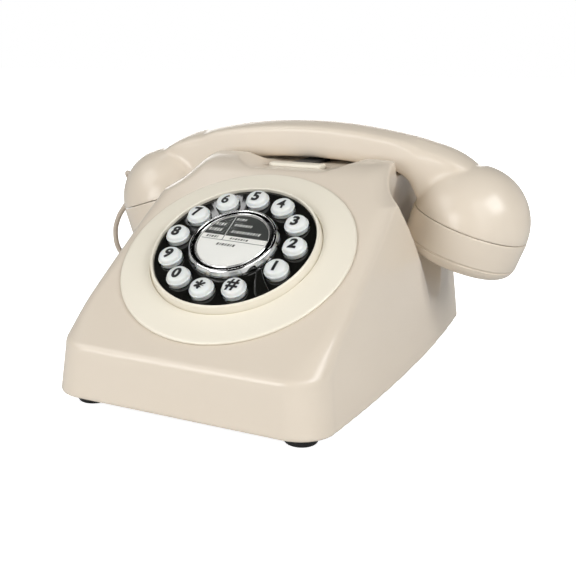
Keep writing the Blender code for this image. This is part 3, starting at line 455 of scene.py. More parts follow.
# ---- case ----
FACE_TILT = math.radians(32.45)
DIAL_Y, DIAL_Z = -20.2 * MM, 66.4 * MM
CASE_BOTTOM, CASE_TOP = 6.0 * MM, 104.5 * MM
FRONT_Y, FRONT_LEAN = -ORIGIN_DEPTH, 0.075
FOOT_ROUND, CREASE_RADIUS, BROW_RADIUS = 1.4 * MM, 4.0 * MM, 46.0 * MM
REAR_Y, REAR_LEAN, REAR_SLOPE, REAR_BLEND = 147.0 * MM, 0.06, 0.66, 4.0 * MM
REAR_BEND_Z, REAR_BEND_RISE = 44.0 * MM, 38.0 * MM
HALF_WIDTH, WALL = 73.0 * MM, 2.4 * MM
# Radii in mm of the case's upright corners, low down and high up.
FRONT_CORNER_X, FRONT_CORNER_Y, REAR_CORNER = (17.0, 8.0), (17.0, 10.5), (20.0, 9.0)
NECK_Y, NECK_BOTTOM, NECK_DEPTH = 78.0 * MM, 27.0 * MM, 18.8 * MM
NECK_FILL = 7.0 * MM
NECK_STRETCH = 1.10
TROUGH_FRONT, TROUGH_REAR, TROUGH_FLOOR = 65.5 * MM, 94.5 * MM, 101.8 * MM
VALLEY_FRONT, VALLEY_REAR = 15.0 * MM, 86.0 * MM
VALLEY_Z, VALLEY_RISE = 99.6 * MM, 5.6 * MM
VALLEY_HALF = 42.0
JACK_Y, JACK_Z = 97.3 * MM, 17.4 * MM
# Size and centre in mm of the two cuts that the hook bar and its tongue work in.
BAR_SLOT = ((36.3, 10.0, 24.0), (0.0, 49.0, 98.0))
TONGUE_SLOT = ((12.0, 34.0, 24.0), (0.0, 66.0, 98.0))


def panel_x(y, z):
    """Half width of the case without its neck: bowed in plan and narrower towards the top."""
    return HALF_WIDTH - 0.433 * (y - 55.0 * MM) ** 2 - 0.117 * (z - CASE_BOTTOM)


def edge_y(z):
    """Where the front side panel ends and the neck begins."""
    rise = max(z - 31.3 * MM, 0.0)
    return 66.9 * MM - 0.358 * rise - 7.1 * rise * rise


def neck_depth(z):
    """How far the neck is drawn in; less again under the cradle."""
    deep = NECK_DEPTH * smoothstep(z, NECK_BOTTOM, 66.0 * MM)
    return deep - NECK_FILL * smoothstep(z, 76.0 * MM, CASE_TOP)


def side_x(y, z):
    """Half width of the case at a point of its side."""
    plain = panel_x(y, z)
    start = edge_y(z)
    reach = (NECK_Y - start) * (1.0 if y <= NECK_Y else NECK_STRETCH)
    if z <= NECK_BOTTOM or abs(y - NECK_Y) >= reach:
        return plain
    bottom = panel_x(NECK_Y, z) - neck_depth(z)
    rim = panel_x(start, z) if y <= NECK_Y else panel_x(NECK_Y + reach, z)
    return min(plain, bottom + (rim - bottom) * ((y - NECK_Y) / reach) ** 2)


def face_y(z):
    """The sloping face that carries the dial."""
    return DIAL_Y + (z - DIAL_Z) / math.tan(FACE_TILT)


def rear_y(z):
    """Rear wall, nearly upright low down and leaning forward above the bend."""
    wall = REAR_Y - REAR_LEAN * (z - CASE_BOTTOM)
    slope = REAR_Y - REAR_LEAN * REAR_BEND_RISE - REAR_SLOPE * (z - REAR_BEND_Z)
    gap = (wall - slope) / REAR_BLEND
    return wall - REAR_BLEND * math.log1p(math.exp(gap)) if gap < 40.0 else slope


def front_profile():
    """(y, z) of the front from the table up: wall, crease, dial face, brow."""
    k = 1.0 / math.tan(FACE_TILT)
    z0 = (FRONT_Y - FRONT_LEAN * CASE_BOTTOM - DIAL_Y + DIAL_Z * k) / (k - FRONT_LEAN)
    y0 = face_y(z0)
    wall_angle = math.atan2(1.0, FRONT_LEAN)
    turn = wall_angle - FACE_TILT
    tangent = CREASE_RADIUS * math.tan(turn / 2.0)
    start = (y0 - tangent * math.cos(wall_angle), z0 - tangent * math.sin(wall_angle))
    cy = start[0] + CREASE_RADIUS * math.sin(wall_angle)
    cz = start[1] - CREASE_RADIUS * math.cos(wall_angle)
    points = []
    for i in range(5):
        a = 0.5 * math.pi * i / 4.0
        points.append((FRONT_Y + FOOT_ROUND * (1.0 - math.sin(a)),
                       CASE_BOTTOM + FOOT_ROUND * (1.0 - math.cos(a))))
    for i in range(1, 12):
        z = mix(CASE_BOTTOM + FOOT_ROUND, start[1], i / 12.0)
        points.append((FRONT_Y + FRONT_LEAN * (z - CASE_BOTTOM), z))
    for i in range(13):
        a = wall_angle - turn * i / 12.0
        points.append((cy - CREASE_RADIUS * math.sin(a), cz + CREASE_RADIUS * math.cos(a)))
    brow_z = CASE_TOP - BROW_RADIUS * (1.0 - math.cos(FACE_TILT))
    low = points[-1][1]
    for i in range(1, 41):
        z = mix(low, brow_z, i / 40.0)
        points.append((face_y(z), z))
    foot = face_y(brow_z) + BROW_RADIUS * math.sin(FACE_TILT)
    for i in range(1, 15):
        a = FACE_TILT * (1.0 - i / 14.0)
        points.append((foot - BROW_RADIUS * math.sin(a), CASE_TOP - BROW_RADIUS * (1.0 - math.cos(a))))
    return points


def section(y_front, z):
    """Plan outline of the case at height z."""
    t = smoothstep(z, 26.0 * MM, 46.0 * MM)
    rx, ry = mix(*FRONT_CORNER_X, t) * MM, mix(*FRONT_CORNER_Y, t) * MM
    y_c = y_front + ry
    x_c = side_x(y_c, z)
    rr = mix(*REAR_CORNER, smoothstep(z, 40.0 * MM, 95.0 * MM)) * MM
    y_back = rear_y(z)
    y_r = y_back - rr
    y_edge = max(edge_y(z), y_c + 0.6 * MM)
    y_end = min(NECK_Y + (NECK_Y - edge_y(z)) * NECK_STRETCH, y_r - 0.6 * MM)
    half = [((x_c - rx) * i / 10.0, y_front) for i in range(10)]
    for i in range(20):
        a = 0.5 * math.pi * i / 19.0
        half.append((x_c - rx + rx * math.sin(a), y_c - ry * math.cos(a)))
    for low, high, steps in ((y_c, y_edge, 26), (y_edge, y_end, 34), (y_end, y_r, 8)):
        for i in range(1, steps + 1):
            y = mix(low, high, i / steps)
            half.append((side_x(y, z), y))
    x_r = side_x(y_r, z)
    for i in range(1, 15):
        a = 0.5 * math.pi * i / 14.0
        half.append((x_r - rr + rr * math.cos(a), y_r + rr * math.sin(a)))
    for i in range(1, 9):
        half.append(((x_r - rr) * (1.0 - i / 8.0), y_back))
    mirrored = [(-x, y) for x, y in reversed(half[1:-1])]
    return [(x, y, z) for x, y in half + mirrored]


def trough_cutter():
    """Seat of the grip, open to both sides, with walls that lean out."""
    loops = []
    top = CASE_TOP + 4.0 * MM
    for i in range(41):
        x = mix(-66.0, 66.0, i / 40.0) * MM
        low = TROUGH_FLOOR - 2.5 * x * x
        spread = (top - low) * 0.72
        loops.append([(x, TROUGH_FRONT, low), (x, TROUGH_REAR, low), (x, TROUGH_REAR + spread, top),
                      (x, TROUGH_FRONT - spread, top)])
    return loft(loops)


def valley_cutter():
    """Dip between the two horns, with S-shaped flanks."""
    top = CASE_TOP + 3.0 * MM
    flank = []
    for i in range(17):
        x = mix(17.0, VALLEY_HALF, i / 16.0)
        flank.append((x * MM, VALLEY_Z + VALLEY_RISE * smoothstep(x, 18.0, 40.0)))
    outline = [(-x, z) for x, z in reversed(flank)] + flank
    outline = outline + [(VALLEY_HALF * MM, top), (-VALLEY_HALF * MM, top)]
    return loft([[(x, y, z) for x, z in outline] for y in (VALLEY_FRONT, VALLEY_REAR)])


def dial_matrix():
    """Frame of the dial: Z stands out of the sloping face, on the dial's axis."""
    return Matrix.Translation((0.0, DIAL_Y, DIAL_Z)) @ Matrix.Rotation(FACE_TILT, 4, "X")


def horn_weight(x, y, z):
    """Soft moulded edges round the cradle, crisp ones elsewhere."""
    top = fade(z, 0.088, 0.008) * fade(y, 0.020, 0.012)
    outer = fade(np.abs(x), 0.050, 0.006)
    return 0.10 + 0.90 * top * (1.0 - 0.7 * outer)


def case_openings():
    """Windows for the handset jack, the line jack and the bell switch."""
    return joined([box(scaled((14.0, 13.0, 12.0)), (-HALF_WIDTH, JACK_Y, JACK_Z)),
                   box(scaled((13.0, 14.0, 12.0)), (-26.0 * MM, REAR_Y, JACK_Z)),
                   box(scaled((15.0, 14.0, 4.4)), (22.0 * MM, REAR_Y, JACK_Z))])


def build_case():
    """One-piece shell with its cradle, valley, slots and jack windows."""
    loops = [section(y, z) for y, z in front_profile()]
    case = to_object("case_shell", loft(loops))
    boolean(case, trough_cutter())
    boolean(case, valley_cutter())
    remeshed(case, 0.80 * MM)
    relax(case, 3)
    relax(case, 14, horn_weight)
    for size, centre in (BAR_SLOT, TONGUE_SLOT):
        boolean(case, box(scaled(size), scaled(centre)))
    boolean(case, case_openings())
    to_dial = dial_matrix().inverted()

    def hidden(face):
        """The open underside, and the patch of face that the dial covers."""
        centre = face.calc_center_median()
        if centre.z < CASE_BOTTOM + 0.1 * MM and face.normal.z < -0.7:
            return True
        on_dial = to_dial @ centre
        return math.hypot(on_dial.x, on_dial.y) < DIAL_OPENING * MM and abs(on_dial.z) < 3.0 * MM

    drop_faces(case, hidden)
    smooth(case, 50.0)
    walled(case)
    place(case, "telephone", cream, "cream_plastic", "upper_case")


# ---- dial, in mm on the dial's own axes ----
DIAL_OPENING = 38.2
KEY_RING, KEY_HOLE, CENTRE_HOLE = 30.2, 6.05, 18.9
KEY_FIRST, KEY_PITCH = math.radians(-26.5), math.radians(29.13)
KEY_NAMES = (*"1234567890", "star", "hash")
KEY_GLYPHS = KEY_NAMES[:10] + ("*", "#")
# Height of each character and how much its strokes are thickened, in mm.
GLYPH_DEFAULT = (7.8, 0.35)
GLYPH_SIZE = {"4": (8.0, 0.15), "6": (7.6, 0.24), "*": (11.0, 0.29), "#": (9.0, 0.26)}
GLYPH_RISE, GLYPH_SLANT, GLYPH_LIFT = -0.2, 0.05, 0.12
GLYPH_LONGEST_EDGE = 0.6


def key_spot(index):
    """Centre of a key on the dial, in metres."""
    angle = KEY_FIRST + index * KEY_PITCH
    return KEY_RING * math.cos(angle) * MM, KEY_RING * math.sin(angle) * MM


def on_dial(obj, u=0.0, v=0.0):
    obj.matrix_world = dial_matrix() @ Matrix.Translation((u, v, 0.0))
    return obj


def build_surround():
    """Ivory ring: a broad sloping flange, a thin groove and a raised lip round the plate."""
    outline = [(37.4, 3.0, 0), (37.4, 0.3, 0), (56.4, 0.3, 0.1), (56.4, 1.0, 0.4), (55.6, 1.5, 0.7),
               (42.6, 2.7, 1.0), (41.35, 2.8, 0.15), (41.3, 1.9, 0.05), (40.95, 1.9, 0.05), (40.8, 3.0, 0.2),
               (40.25, 6.1, 0.4), (39.75, 6.6, 0.35), (39.25, 6.6, 0.3), (38.9, 6.1, 0.3), (38.85, 3.0, 0.2),
               (37.4, 3.0, 0)]
    ring = to_object("dial_ring_ivory", lathe(rounded(outline, 0.3, 6)[:-1], 192), 60.0)
    place(on_dial(ring), "telephone", ivory, "ivory_plastic", "dial_surround")


def build_plate():
    outline = [(0.0, 3.4), (38.6, 3.4, 0.1), (38.6, 5.0, 0.25), (0.0, 5.0)]
    plate = to_object("dial_plate_black", lathe(rounded(outline, 0.2, 5), 160))
    holes = [cylinder(CENTRE_HOLE, 1.0, 8.0, 96)]
    for index in range(len(KEY_NAMES)):
        u, v = key_spot(index)
        holes.append(moved(cylinder(KEY_HOLE, 1.0, 8.0, 48), Matrix.Translation((u, v, 0.0))))
    boolean(plate, joined(holes))
    smooth(plate, 35.0)
    place(on_dial(plate), "telephone", black, "black_gloss", "dial_faceplate")


# The key's cap starts above this height; its flange is below.
CAP_FOOT = 5.0
KEY_PROFILE = [(0.0, 1.5), (5.85, 1.5, 0.2), (5.85, 2.9, 0.3), (4.7, 3.2, 0.3), (4.7, 5.9, 0.2),
               (5.5, 6.0, 0.1), (5.75, 6.3, 0.2), (5.75, 6.95, 0.2), (5.45, 7.25, 0.12), (5.35, 7.15, 0.06),
               (5.3, 7.4, 0.1), (4.75, 8.9, 1.6), (2.8, 9.4, 2.4), (0.0, 9.5)]


def key_height(profile, radius):
    """Height of the key's top at a distance from its axis."""
    best = 0.0
    for (r0, h0), (r1, h1) in zip(profile, profile[1:]):
        if h0 > CAP_FOOT and min(r0, r1) <= radius <= max(r0, r1) and r0 != r1:
            best = max(best, mix(h0, h1, (radius - r0) / (r1 - r0)))
    return best


def glyph(text, size, bold):
    """Flat outline mesh of one character, centred on its own middle."""
    curve = bpy.data.curves.new("glyph", "FONT")
    curve.body = text
    curve.size = size
    curve.offset = bold
    curve.resolution_u = 6
    holder = new_object("glyph", curve)
    graph = bpy.context.evaluated_depsgraph_get()
    graph.update()
    mesh = bpy.data.meshes.new_from_object(holder.evaluated_get(graph))
    bm = bmesh.new()
    bm.from_mesh(mesh)
    bpy.data.objects.remove(holder, do_unlink=True)
    bpy.data.curves.remove(curve)
    bpy.data.meshes.remove(mesh)
    xs = [v.co.x for v in bm.verts]
    ys = [v.co.y for v in bm.verts]
    bmesh.ops.translate(bm, vec=(-0.5 * (min(xs) + max(xs)), -0.5 * (min(ys) + max(ys)), 0.0), verts=bm.verts)
    return bm


def build_keys():
    """Twelve domed caps, each with its character laid on the dome."""
    profile = rounded(KEY_PROFILE, 0.3, 8)
    for index, name in enumerate(KEY_NAMES):
        u, v = key_spot(index)
        key = to_object("keycap_" + name, lathe(profile, 56), 60.0)
        place(on_dial(key, u, v), "key_" + name, key_white, "key_white", "key_" + name)
        size, bold = GLYPH_SIZE.get(KEY_GLYPHS[index], GLYPH_DEFAULT)
        mark = glyph(KEY_GLYPHS[index], size * MM, bold * MM)
        bmesh.ops.triangulate(mark, faces=mark.faces)
        long_edges = [e for e in mark.edges if e.calc_length() > GLYPH_LONGEST_EDGE * MM]
        bmesh.ops.subdivide_edges(mark, edges=long_edges, cuts=3)
        for vert in mark.verts:
            vert.co.x += GLYPH_SLANT * vert.co.y
            vert.co.y += GLYPH_RISE * MM
            vert.co.z = (key_height(profile, math.hypot(vert.co.x, vert.co.y) / MM) + GLYPH_LIFT) * MM
        digit = to_object("digit_" + name, mark)
        for polygon in digit.data.polygons:
            polygon.use_smooth = False
        place(on_dial(digit, u, v), "key_" + name, ink, "black_gloss")


def build_centre():
    """Fixed chrome ring, and inside it the redial button: cup, printed card and clear cover."""
    outline = [(19.5, 5.3, 0), (22.1, 5.3, 0.15), (21.9, 6.2, 0.8), (20.9, 8.5, 0.9), (20.3, 8.9, 0.4),
               (19.8, 8.9, 0.3), (19.5, 8.4, 0.3), (19.5, 5.3, 0)]
    ring = to_object("chrome_ring", lathe(rounded(outline, 0.3, 7)[:-1], 160), 60.0)
    place(on_dial(ring), "telephone", chrome, "chrome", "centre_ring")
    outline = [(0.0, 1.6), (18.3, 1.6, 0.2), (18.3, 8.5, 0.5), (17.85, 8.95, 0.3), (17.45, 8.7, 0.3),
               (17.4, 7.4, 0.1), (0.0, 7.4)]
    button = to_object("redial_cup", lathe(rounded(outline, 0.3, 6), 160), 60.0)
    place(on_dial(button), "redial", chrome, "satin_metal", "redial_button")
    lens = [(0.0, 8.3), (17.2, 8.3, 0.1), (17.2, 8.8, 0.25), (15.0, 9.25, 1.5), (9.0, 9.5, 3.0), (0.0, 9.6)]
    cover = to_object("redial_cover", lathe(rounded(lens, 0.3, 6), 128), 60.0)
    place(on_dial(cover), "redial", clear, "clear_lens", "redial_lens")
    build_label()


def disc_part(low, high, radius, top):
    """Part of a disc between two chords v = low and v = high."""
    bm = bmesh.new()
    edge = []
    start, end = math.asin(low / radius), math.asin(high / radius)
    for i in range(41):
        a = mix(start, end, i / 40)
        edge.append((radius * math.cos(a), radius * math.sin(a)))
    outline = edge + [(-x, y) for x, y in reversed(edge)]
    clean = []
    for x, y in outline:
        if not clean or math.hypot(x - clean[-1][0], y - clean[-1][1]) > 1e-4:
            clean.append((x, y))
    bm.faces.new([bm.verts.new((x * MM, y * MM, top * MM)) for x, y in clean])
    return bm


def bar_part(x0, x1, y0, y1, top, lean=0.0):
    """Flat printed bar; its upper edge stands to the right of its lower one by the lean."""
    bm = bmesh.new()
    corners = ((x0 - 0.5 * lean, y0), (x1 - 0.5 * lean, y0), (x1 + 0.5 * lean, y1), (x0 + 0.5 * lean, y1))
    bm.faces.new([bm.verts.new((x * MM, y * MM, top * MM)) for x, y in corners])
    return bm


LABEL_TURN = math.radians(-2.5)
CARD_RADIUS, CARD_LOW, CARD_TOP = 17.2, 7.7, 8.0
FIELD_LAYER, DARK_LAYER, PALE_LAYER = 8.02, 8.03, 8.04
FIELD_LOW = 2.7
STROKES, STROKE_GAP, STROKE_LEAN = (0.85, 0.50, 0.95, 0.70), 0.65, 0.25
# Each word as (left, right, middle height, tall).
PALE_WORDS = ((-13.3, -7.6, 9.8, 1.8), (-15.2, -8.4, 5.9, 2.0), (-4.3, 1.3, 14.2, 1.4),
              (-3.6, 5.2, 10.2, 1.6), (-3.2, 12.0, 5.7, 1.7))
DARK_WORDS = ((-14.4, -8.4, 1.2, 1.5), (-1.9, 7.5, 1.2, 1.2), (-6.8, 2.6, -3.2, 1.6))


def build_label():
    """Printed card: dark upper field, a divider, and plain bars in place of words."""
    card_disc = to_object("label_card", cylinder(CARD_RADIUS, CARD_LOW, CARD_TOP, 128))
    place(on_dial(card_disc), "redial", card, "label_card", "redial_label")
    place_print("label_field", disc_part(FIELD_LOW, 17.0, CARD_RADIUS - 0.15, FIELD_LAYER), charcoal)
    pale = [bar_part(-5.75, -5.4, FIELD_LOW, 15.6, PALE_LAYER)]
    for word in PALE_WORDS:
        pale += word_bars(*word, PALE_LAYER)
    place_print("label_print_pale", joined(pale), pale_ink)
    dark_bars = [bar_part(-16.4, 16.4, -0.60, -0.30, DARK_LAYER),
                 bar_part(-5.75, -5.4, -0.4, FIELD_LOW, DARK_LAYER)]
    for word in DARK_WORDS:
        dark_bars += word_bars(*word, DARK_LAYER)
    place_print("label_print_dark", joined(dark_bars), ink)


def place_print(name, bm, material):
    """Print lies a few degrees turned on the round card."""
    piece = on_dial(to_object(name, bm))
    piece.matrix_world = piece.matrix_world @ Matrix.Rotation(LABEL_TURN, 4, "Z")
    place(piece, "redial", material, "label_card")


def word_bars(x0, x1, y, tall, top):
    """A broken line of short upright strokes that reads as print without being letters."""
    bars = []
    x = x0
    k = 0
    while x < x1 - 0.3:
        width = STROKES[k % len(STROKES)]
        bars.append(bar_part(x, min(x + width, x1), y - 0.5 * tall, y + 0.5 * tall, top, STROKE_LEAN * tall))
        x += width + STROKE_GAP
        k += 1
    return bars


def build_stop():
    """Curved arm standing on the black plate, rounded over its top."""
    loops = []
    shape = [(-1.0, 0.0), (-1.0, 0.55), (-0.93, 0.80), (-0.72, 0.94), (-0.35, 1.0), (0.35, 1.0), (0.72, 0.94),
             (0.93, 0.80), (1.0, 0.55), (1.0, 0.0)]
    for i in range(29):
        t = i / 28.0
        radius = mix(38.3, 24.6, t) * MM
        angle = math.radians(-47.0) + math.radians(9.0) * t * t
        centre = Vector((radius * math.cos(angle), radius * math.sin(angle), 0.0))
        across = Vector((-math.sin(angle), math.cos(angle), 0.0))
        tip = math.sqrt(max(1.0 - ((t - 0.90) / 0.10) ** 2, 0.04)) if t > 0.90 else 1.0
        half = mix(3.4, 1.7, smoothstep(t, 0.0, 1.0)) * MM * tip
        high = mix(6.8, 8.3, smoothstep(t, 0.0, 0.8)) * MM * mix(0.93, 1.0, tip)
        loops.append([centre + across * (side * half) + Vector((0.0, 0.0, mix(5.3 * MM, high, up)))
                      for side, up in shape])
    stop = to_object("finger_stop_arm", loft(loops), 50.0)
    place(on_dial(stop), "telephone", black, "black_gloss", "finger_stop")


# ---- handset ----
SEAT = Vector((89.8 * MM, 80.0 * MM, 72.7 * MM))
SEAT_TILT = math.radians(18.0)
# Radius in mm of a dome at its seam and at its crown.
SEAM, CROWN = 30.4, 30.0
HANDSET_X = -4.0 * MM
GRIP_HALF_DEPTH = 14.0 * MM
# The grip's underside turns down at GRIP_FLAT from the middle, to the height GRIP_ROOT inside the domes.
GRIP_FLAT, GRIP_ROOT = 63.6, 83.0 * MM
CAP_HOLES = 7


def seat_matrix(side):
    """Frame of one end of the handset: Z runs down its cap's axis, from the seam."""
    tilt = Matrix.Rotation(math.pi + side * SEAT_TILT, 4, "Y")
    return Matrix.Translation((HANDSET_X + side * SEAT.x, SEAT.y, SEAT.z)) @ tilt


def handle_top(x):
    """Height of the grip's ridge at x mm from its middle."""
    a = abs(x)
    return (122.2 - 0.0018 * a * a - 12.2 * (a / 100.0) ** 11) * MM


def handle_bottom(x):
    """Height of the grip's underside."""
    a = abs(x)
    return (102.1 - 0.0016 * a * a - 10.0 * (a / 62.5) ** 14) * MM


# One side of the grip's section, from below: share of the half depth, share of the height.
GRIP_SHAPE = ((-0.56, 0.0), (-0.80, 0.02), (-0.93, 0.07), (-0.985, 0.16), (-1.0, 0.30), (-1.0, 0.55),
              (-1.0, 0.72), (-0.985, 0.775), (-0.94, 0.825), (-0.85, 0.865), (-0.66, 0.915), (-0.40, 0.968),
              (-0.2, 0.992), (0.0, 1.0))


def build_handset():
    """Grip and the two domes, melted into one shell and open below the seams."""
    loops = []
    mirrored = [(-a, b) for a, b in reversed(GRIP_SHAPE[:-1])]
    for i in range(-104, 105):
        x = float(i)
        a = abs(x)
        low = handle_bottom(min(a, GRIP_FLAT))
        if a > GRIP_FLAT:
            low = mix(low, GRIP_ROOT, min((a - GRIP_FLAT) / 5.0, 1.0))
        half = GRIP_HALF_DEPTH * (1.0 - 0.65 * smoothstep(a, 78.0, 114.0))
        loops.append([(HANDSET_X + x * MM, SEAT.y + p * half, mix(low, handle_top(x), q)) for p, q in
                      list(GRIP_SHAPE) + mirrored])
    parts = []
    for side in (-1.0, 1.0):
        profile = [(0.0, -CROWN)]
        for i in range(1, 33):
            a = 0.5 * math.pi * i / 32.0
            r = mix(CROWN, SEAM, (a / (0.5 * math.pi)) ** 4)
            profile.append((r * math.sin(a), -r * math.cos(a)))
        profile = profile + [(SEAM, 2.5), (0.0, 2.5)]
        parts.append(moved(lathe(profile, 128), seat_matrix(side)))
    body = to_object("handset_grip", joined(parts + [loft(loops)]))
    remeshed(body, 0.75 * MM)
    relax(body, 3)
    relax(body, 20, crease_weight)
    for side in (-1.0, 1.0):
        trim_at_seam(body, side)
    smooth(body, 60.0)
    walled(body)
    place(body, "handset", cream, "cream_plastic", "handset_body")


def crease_weight(x, y, z):
    """Full softening where the grip runs into the domes, little elsewhere."""
    a = np.abs(x - HANDSET_X)
    near = fade(a, 0.050, 0.010) * fade(z, 0.078, 0.010)
    below_top = fade(handle_top((x - HANDSET_X) / MM) - z, 0.001, 0.006)
    return 0.12 + 0.88 * near * below_top


def trim_at_seam(obj, side):
    """Cuts the dome off square at the seam plane."""
    bm = bmesh_of(obj)
    plane = seat_matrix(side)
    normal = plane.to_3x3() @ Vector((0.0, 0.0, 1.0))
    verts = [v for v in bm.verts if side * v.co.x > 0.045]
    chosen = set(verts)
    edges = [e for e in bm.edges if e.verts[0] in chosen and e.verts[1] in chosen]
    faces = [f for f in bm.faces if all(v in chosen for v in f.verts)]
    bmesh.ops.bisect_plane(bm, geom=verts + edges + faces, dist=1e-6,
                           plane_co=plane.translation - normal * 0.1 * MM, plane_no=normal, clear_outer=True)
    bm.to_mesh(obj.data)
    bm.free()


def build_caps():
    """Screw caps of both ends, each with a smooth skirt, a groove and sound holes."""
    outline = [(SEAM - 2.6, 0.3, 0), (SEAM - 0.1, 0.3, 0.1), (SEAM + 0.2, 0.75, 0.4),
               (SEAM - 0.25, 14.9, 0.3), (SEAM - 0.95, 15.2, 0.15), (SEAM - 0.95, 15.75, 0.15),
               (SEAM - 0.5, 16.1, 0.4), (SEAM - 1.5, 18.8, 2.5), (SEAM - 4.6, 21.5, 2.6),
               (SEAM - 8.5, 21.5, 1.5), (0.0, 20.0), (0.0, 17.6), (SEAM - 6.5, 18.9, 0.5),
               (SEAM - 2.6, 15.0, 0.5), (SEAM - 2.6, 0.3, 0)]
    for side, name in ((1.0, "earpiece"), (-1.0, "mouthpiece")):
        cap = to_object(name + "_screw_cap", lathe(rounded(outline, 0.3, 7)[:-1], 160), 60.0)
        holes = []
        for k in range(CAP_HOLES):
            a = 2.0 * math.pi * (k + 0.5) / CAP_HOLES
            spot = Matrix.Translation((8.0 * MM * math.cos(a), 8.0 * MM * math.sin(a), 0.0))
            holes.append(moved(cylinder(1.2, 16.0, 25.0, 20), spot))
        boolean(cap, joined(holes))
        smooth(cap, 45.0)
        cap.matrix_world = seat_matrix(side)
        place(cap, "handset", cream, "cream_plastic", name + "_cap")


def sleeve_matrix():
    """Frame of the cord's collar: Z points out of the left dome."""
    out = Vector((-0.95, 0.12, 0.28)).normalized()
    spot = Vector((HANDSET_X - SEAT.x, SEAT.y, SEAT.z)) + out * 29.6 * MM
    return Matrix.Translation(spot) @ out.to_track_quat("Z", "Y").to_matrix().to_4x4()


def build_sleeve():
    outline = [(0.0, -6.0), (2.9, -6.0, 0.2), (2.9, 0.2, 0.1), (4.6, 0.3, 0.4), (4.5, 2.3, 0.8),
               (3.2, 3.0, 0.8), (2.7, 5.0, 0.5), (0.0, 5.0)]
    sleeve = to_object("cord_collar", lathe(rounded(outline, 0.3, 6), 64), 60.0)
    sleeve.matrix_world = sleeve_matrix()
    place(sleeve, "handset", cream, "cream_plastic", "handset_cord_sleeve")


# ---- hook, cord, feet, small parts ----
BAR_HALF, BAR_FRONT, BAR_BACK, BAR_LOW, BAR_TOP = 14.75, 44.5, 53.5, 98.6, 101.4
# Corners of the bar: side, whether it is at the back, where its arc starts in half turns, radius.
BAR_CORNERS = ((1.0, True, 0.0, 1.2), (-1.0, True, 0.5, 2.6), (-1.0, False, 1.0, 2.2), (1.0, False, 1.5, 0.8))
# Levels from the underside to the top, and how far the outline is drawn in at each.
BAR_LEVELS = ((BAR_LOW, 0.5), (BAR_LOW + 0.25, 0.12), (BAR_LOW + 0.6, 0.0), (BAR_TOP - 1.0, 0.0),
              (BAR_TOP - 0.55, 0.12), (BAR_TOP - 0.2, 0.42), (BAR_TOP, 0.95))
TONGUE_START = 54.0 * MM
PLUNGER_Y = 62.0 * MM


def build_hook_bar():
    """Ivory bar with four unlike corners, its tongue and its plunger; behind the tab these are coloured dark
    as painted shade from the handset above.
    """
    loops = []
    for z, pull in BAR_LEVELS:
        loop = []
        for side, at_back, start, radius in BAR_CORNERS:
            r = max(radius - pull, 0.2)
            mx = (BAR_HALF - pull - r) * side
            my = BAR_BACK - pull - r if at_back else BAR_FRONT + pull + r
            for k in range(7):
                a = math.pi * (start + 0.5 * k / 6.0)
                loop.append(((mx + r * math.cos(a)) * MM, (my + r * math.sin(a)) * MM, z * MM))
        loops.append(loop)
    tongue = box(scaled((11.0, 34.0, 2.2)), scaled((0.0, 65.5, 100.0)))
    stem = moved(cylinder(2.2, 70.0, 100.0, 32), Matrix.Translation((0.0, PLUNGER_Y, 0.0)))
    piece = to_object("hook_bar_tab", loft(loops))
    boolean(piece, tongue, "UNION")
    boolean(piece, stem, "UNION")
    smooth(piece, 40.0)
    piece.data.materials.append(ivory)
    piece.data.materials.append(dark)
    # Faces behind the tab's back edge (tongue and plunger) take the dark material as painted shade, standing
    # for the handset's shadow over them.
    for polygon in piece.data.polygons:
        polygon.material_index = 1 if polygon.center.y > TONGUE_START else 0
    place(piece, "hook", None, "ivory_plastic", "hook_bar")


def smooth_path(knots, steps):
    """Points of a smooth curve through all the knots."""
    pts = [knots[0] * 2.0 - knots[1]] + knots + [knots[-1] * 2.0 - knots[-2]]
    out = []
    for i in range(1, len(pts) - 2):
        p0, p1, p2, p3 = pts[i - 1:i + 3]
        for k in range(steps):
            t = k / steps
            out.append(0.5 * ((2.0 * p1) + (p2 - p0) * t + (2.0 * p0 - 5.0 * p1 + 4.0 * p2 - p3) * t * t
                              + (3.0 * p1 - p0 - 3.0 * p2 + p3) * t ** 3))
    out.append(pts[-2])
    return out


def tube(points, radius, sides):
    """Round tube along a path, without twist."""
    loops = []
    normal = Vector((0.0, 1.0, 0.0))
    for i, point in enumerate(points):
        ahead = points[min(i + 1, len(points) - 1)] - points[max(i - 1, 0)]
        ahead.normalize()
        normal = (normal - ahead * normal.dot(ahead)).normalized()
        other = ahead.cross(normal)
        loops.append([point + normal * (radius * math.cos(2.0 * math.pi * k / sides))
                      + other * (radius * math.sin(2.0 * math.pi * k / sides)) for k in range(sides)])
    return loft(loops)


# The middle of the flex, from under the collar down to the jack, in mm.
CORD_KNOTS = ((-129.0, 86.5, 78.0), (-129.0, 88.5, 73.0), (-130.5, 89.0, 68.5), (-136.0, 88.5, 60.5),
              (-140.0, 88.0, 54.0), (-142.7, 88.0, 44.7), (-141.0, 89.0, 33.0), (-131.0, 92.0, 22.0),
              (-113.0, 95.5, 16.5))
JACK_INSET, PLUG_REACH = 0.4 * MM, 4.1 * MM


def build_cord():
    """Flex from the handset's collar to its plug."""
    tip = sleeve_matrix() @ Vector((0.0, 0.0, 4.2 * MM))
    way = sleeve_matrix() @ Vector((0.0, 0.0, 8.6 * MM))
    end = Vector((-panel_x(JACK_Y, JACK_Z) + JACK_INSET - PLUG_REACH, JACK_Y, JACK_Z))
    knots = [tip, way] + [Vector(p) * MM for p in CORD_KNOTS] + [end + Vector((-9.0 * MM, 0.0, 0.0)), end]
    cord = to_object("cord_flex", tube(smooth_path(knots, 14), 1.6 * MM, 18), 80.0)
    cord.data.transform(SHIFT)
    cord.data.materials.append(cord_vinyl)
    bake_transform(cord)
    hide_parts("handset_cord")


SPRING_RADIUS, SPRING_LOW, SPRING_HIGH = 3.6 * MM, 72.0, 90.0
SPRING_TURNS, TURN_STEPS = 5, 28


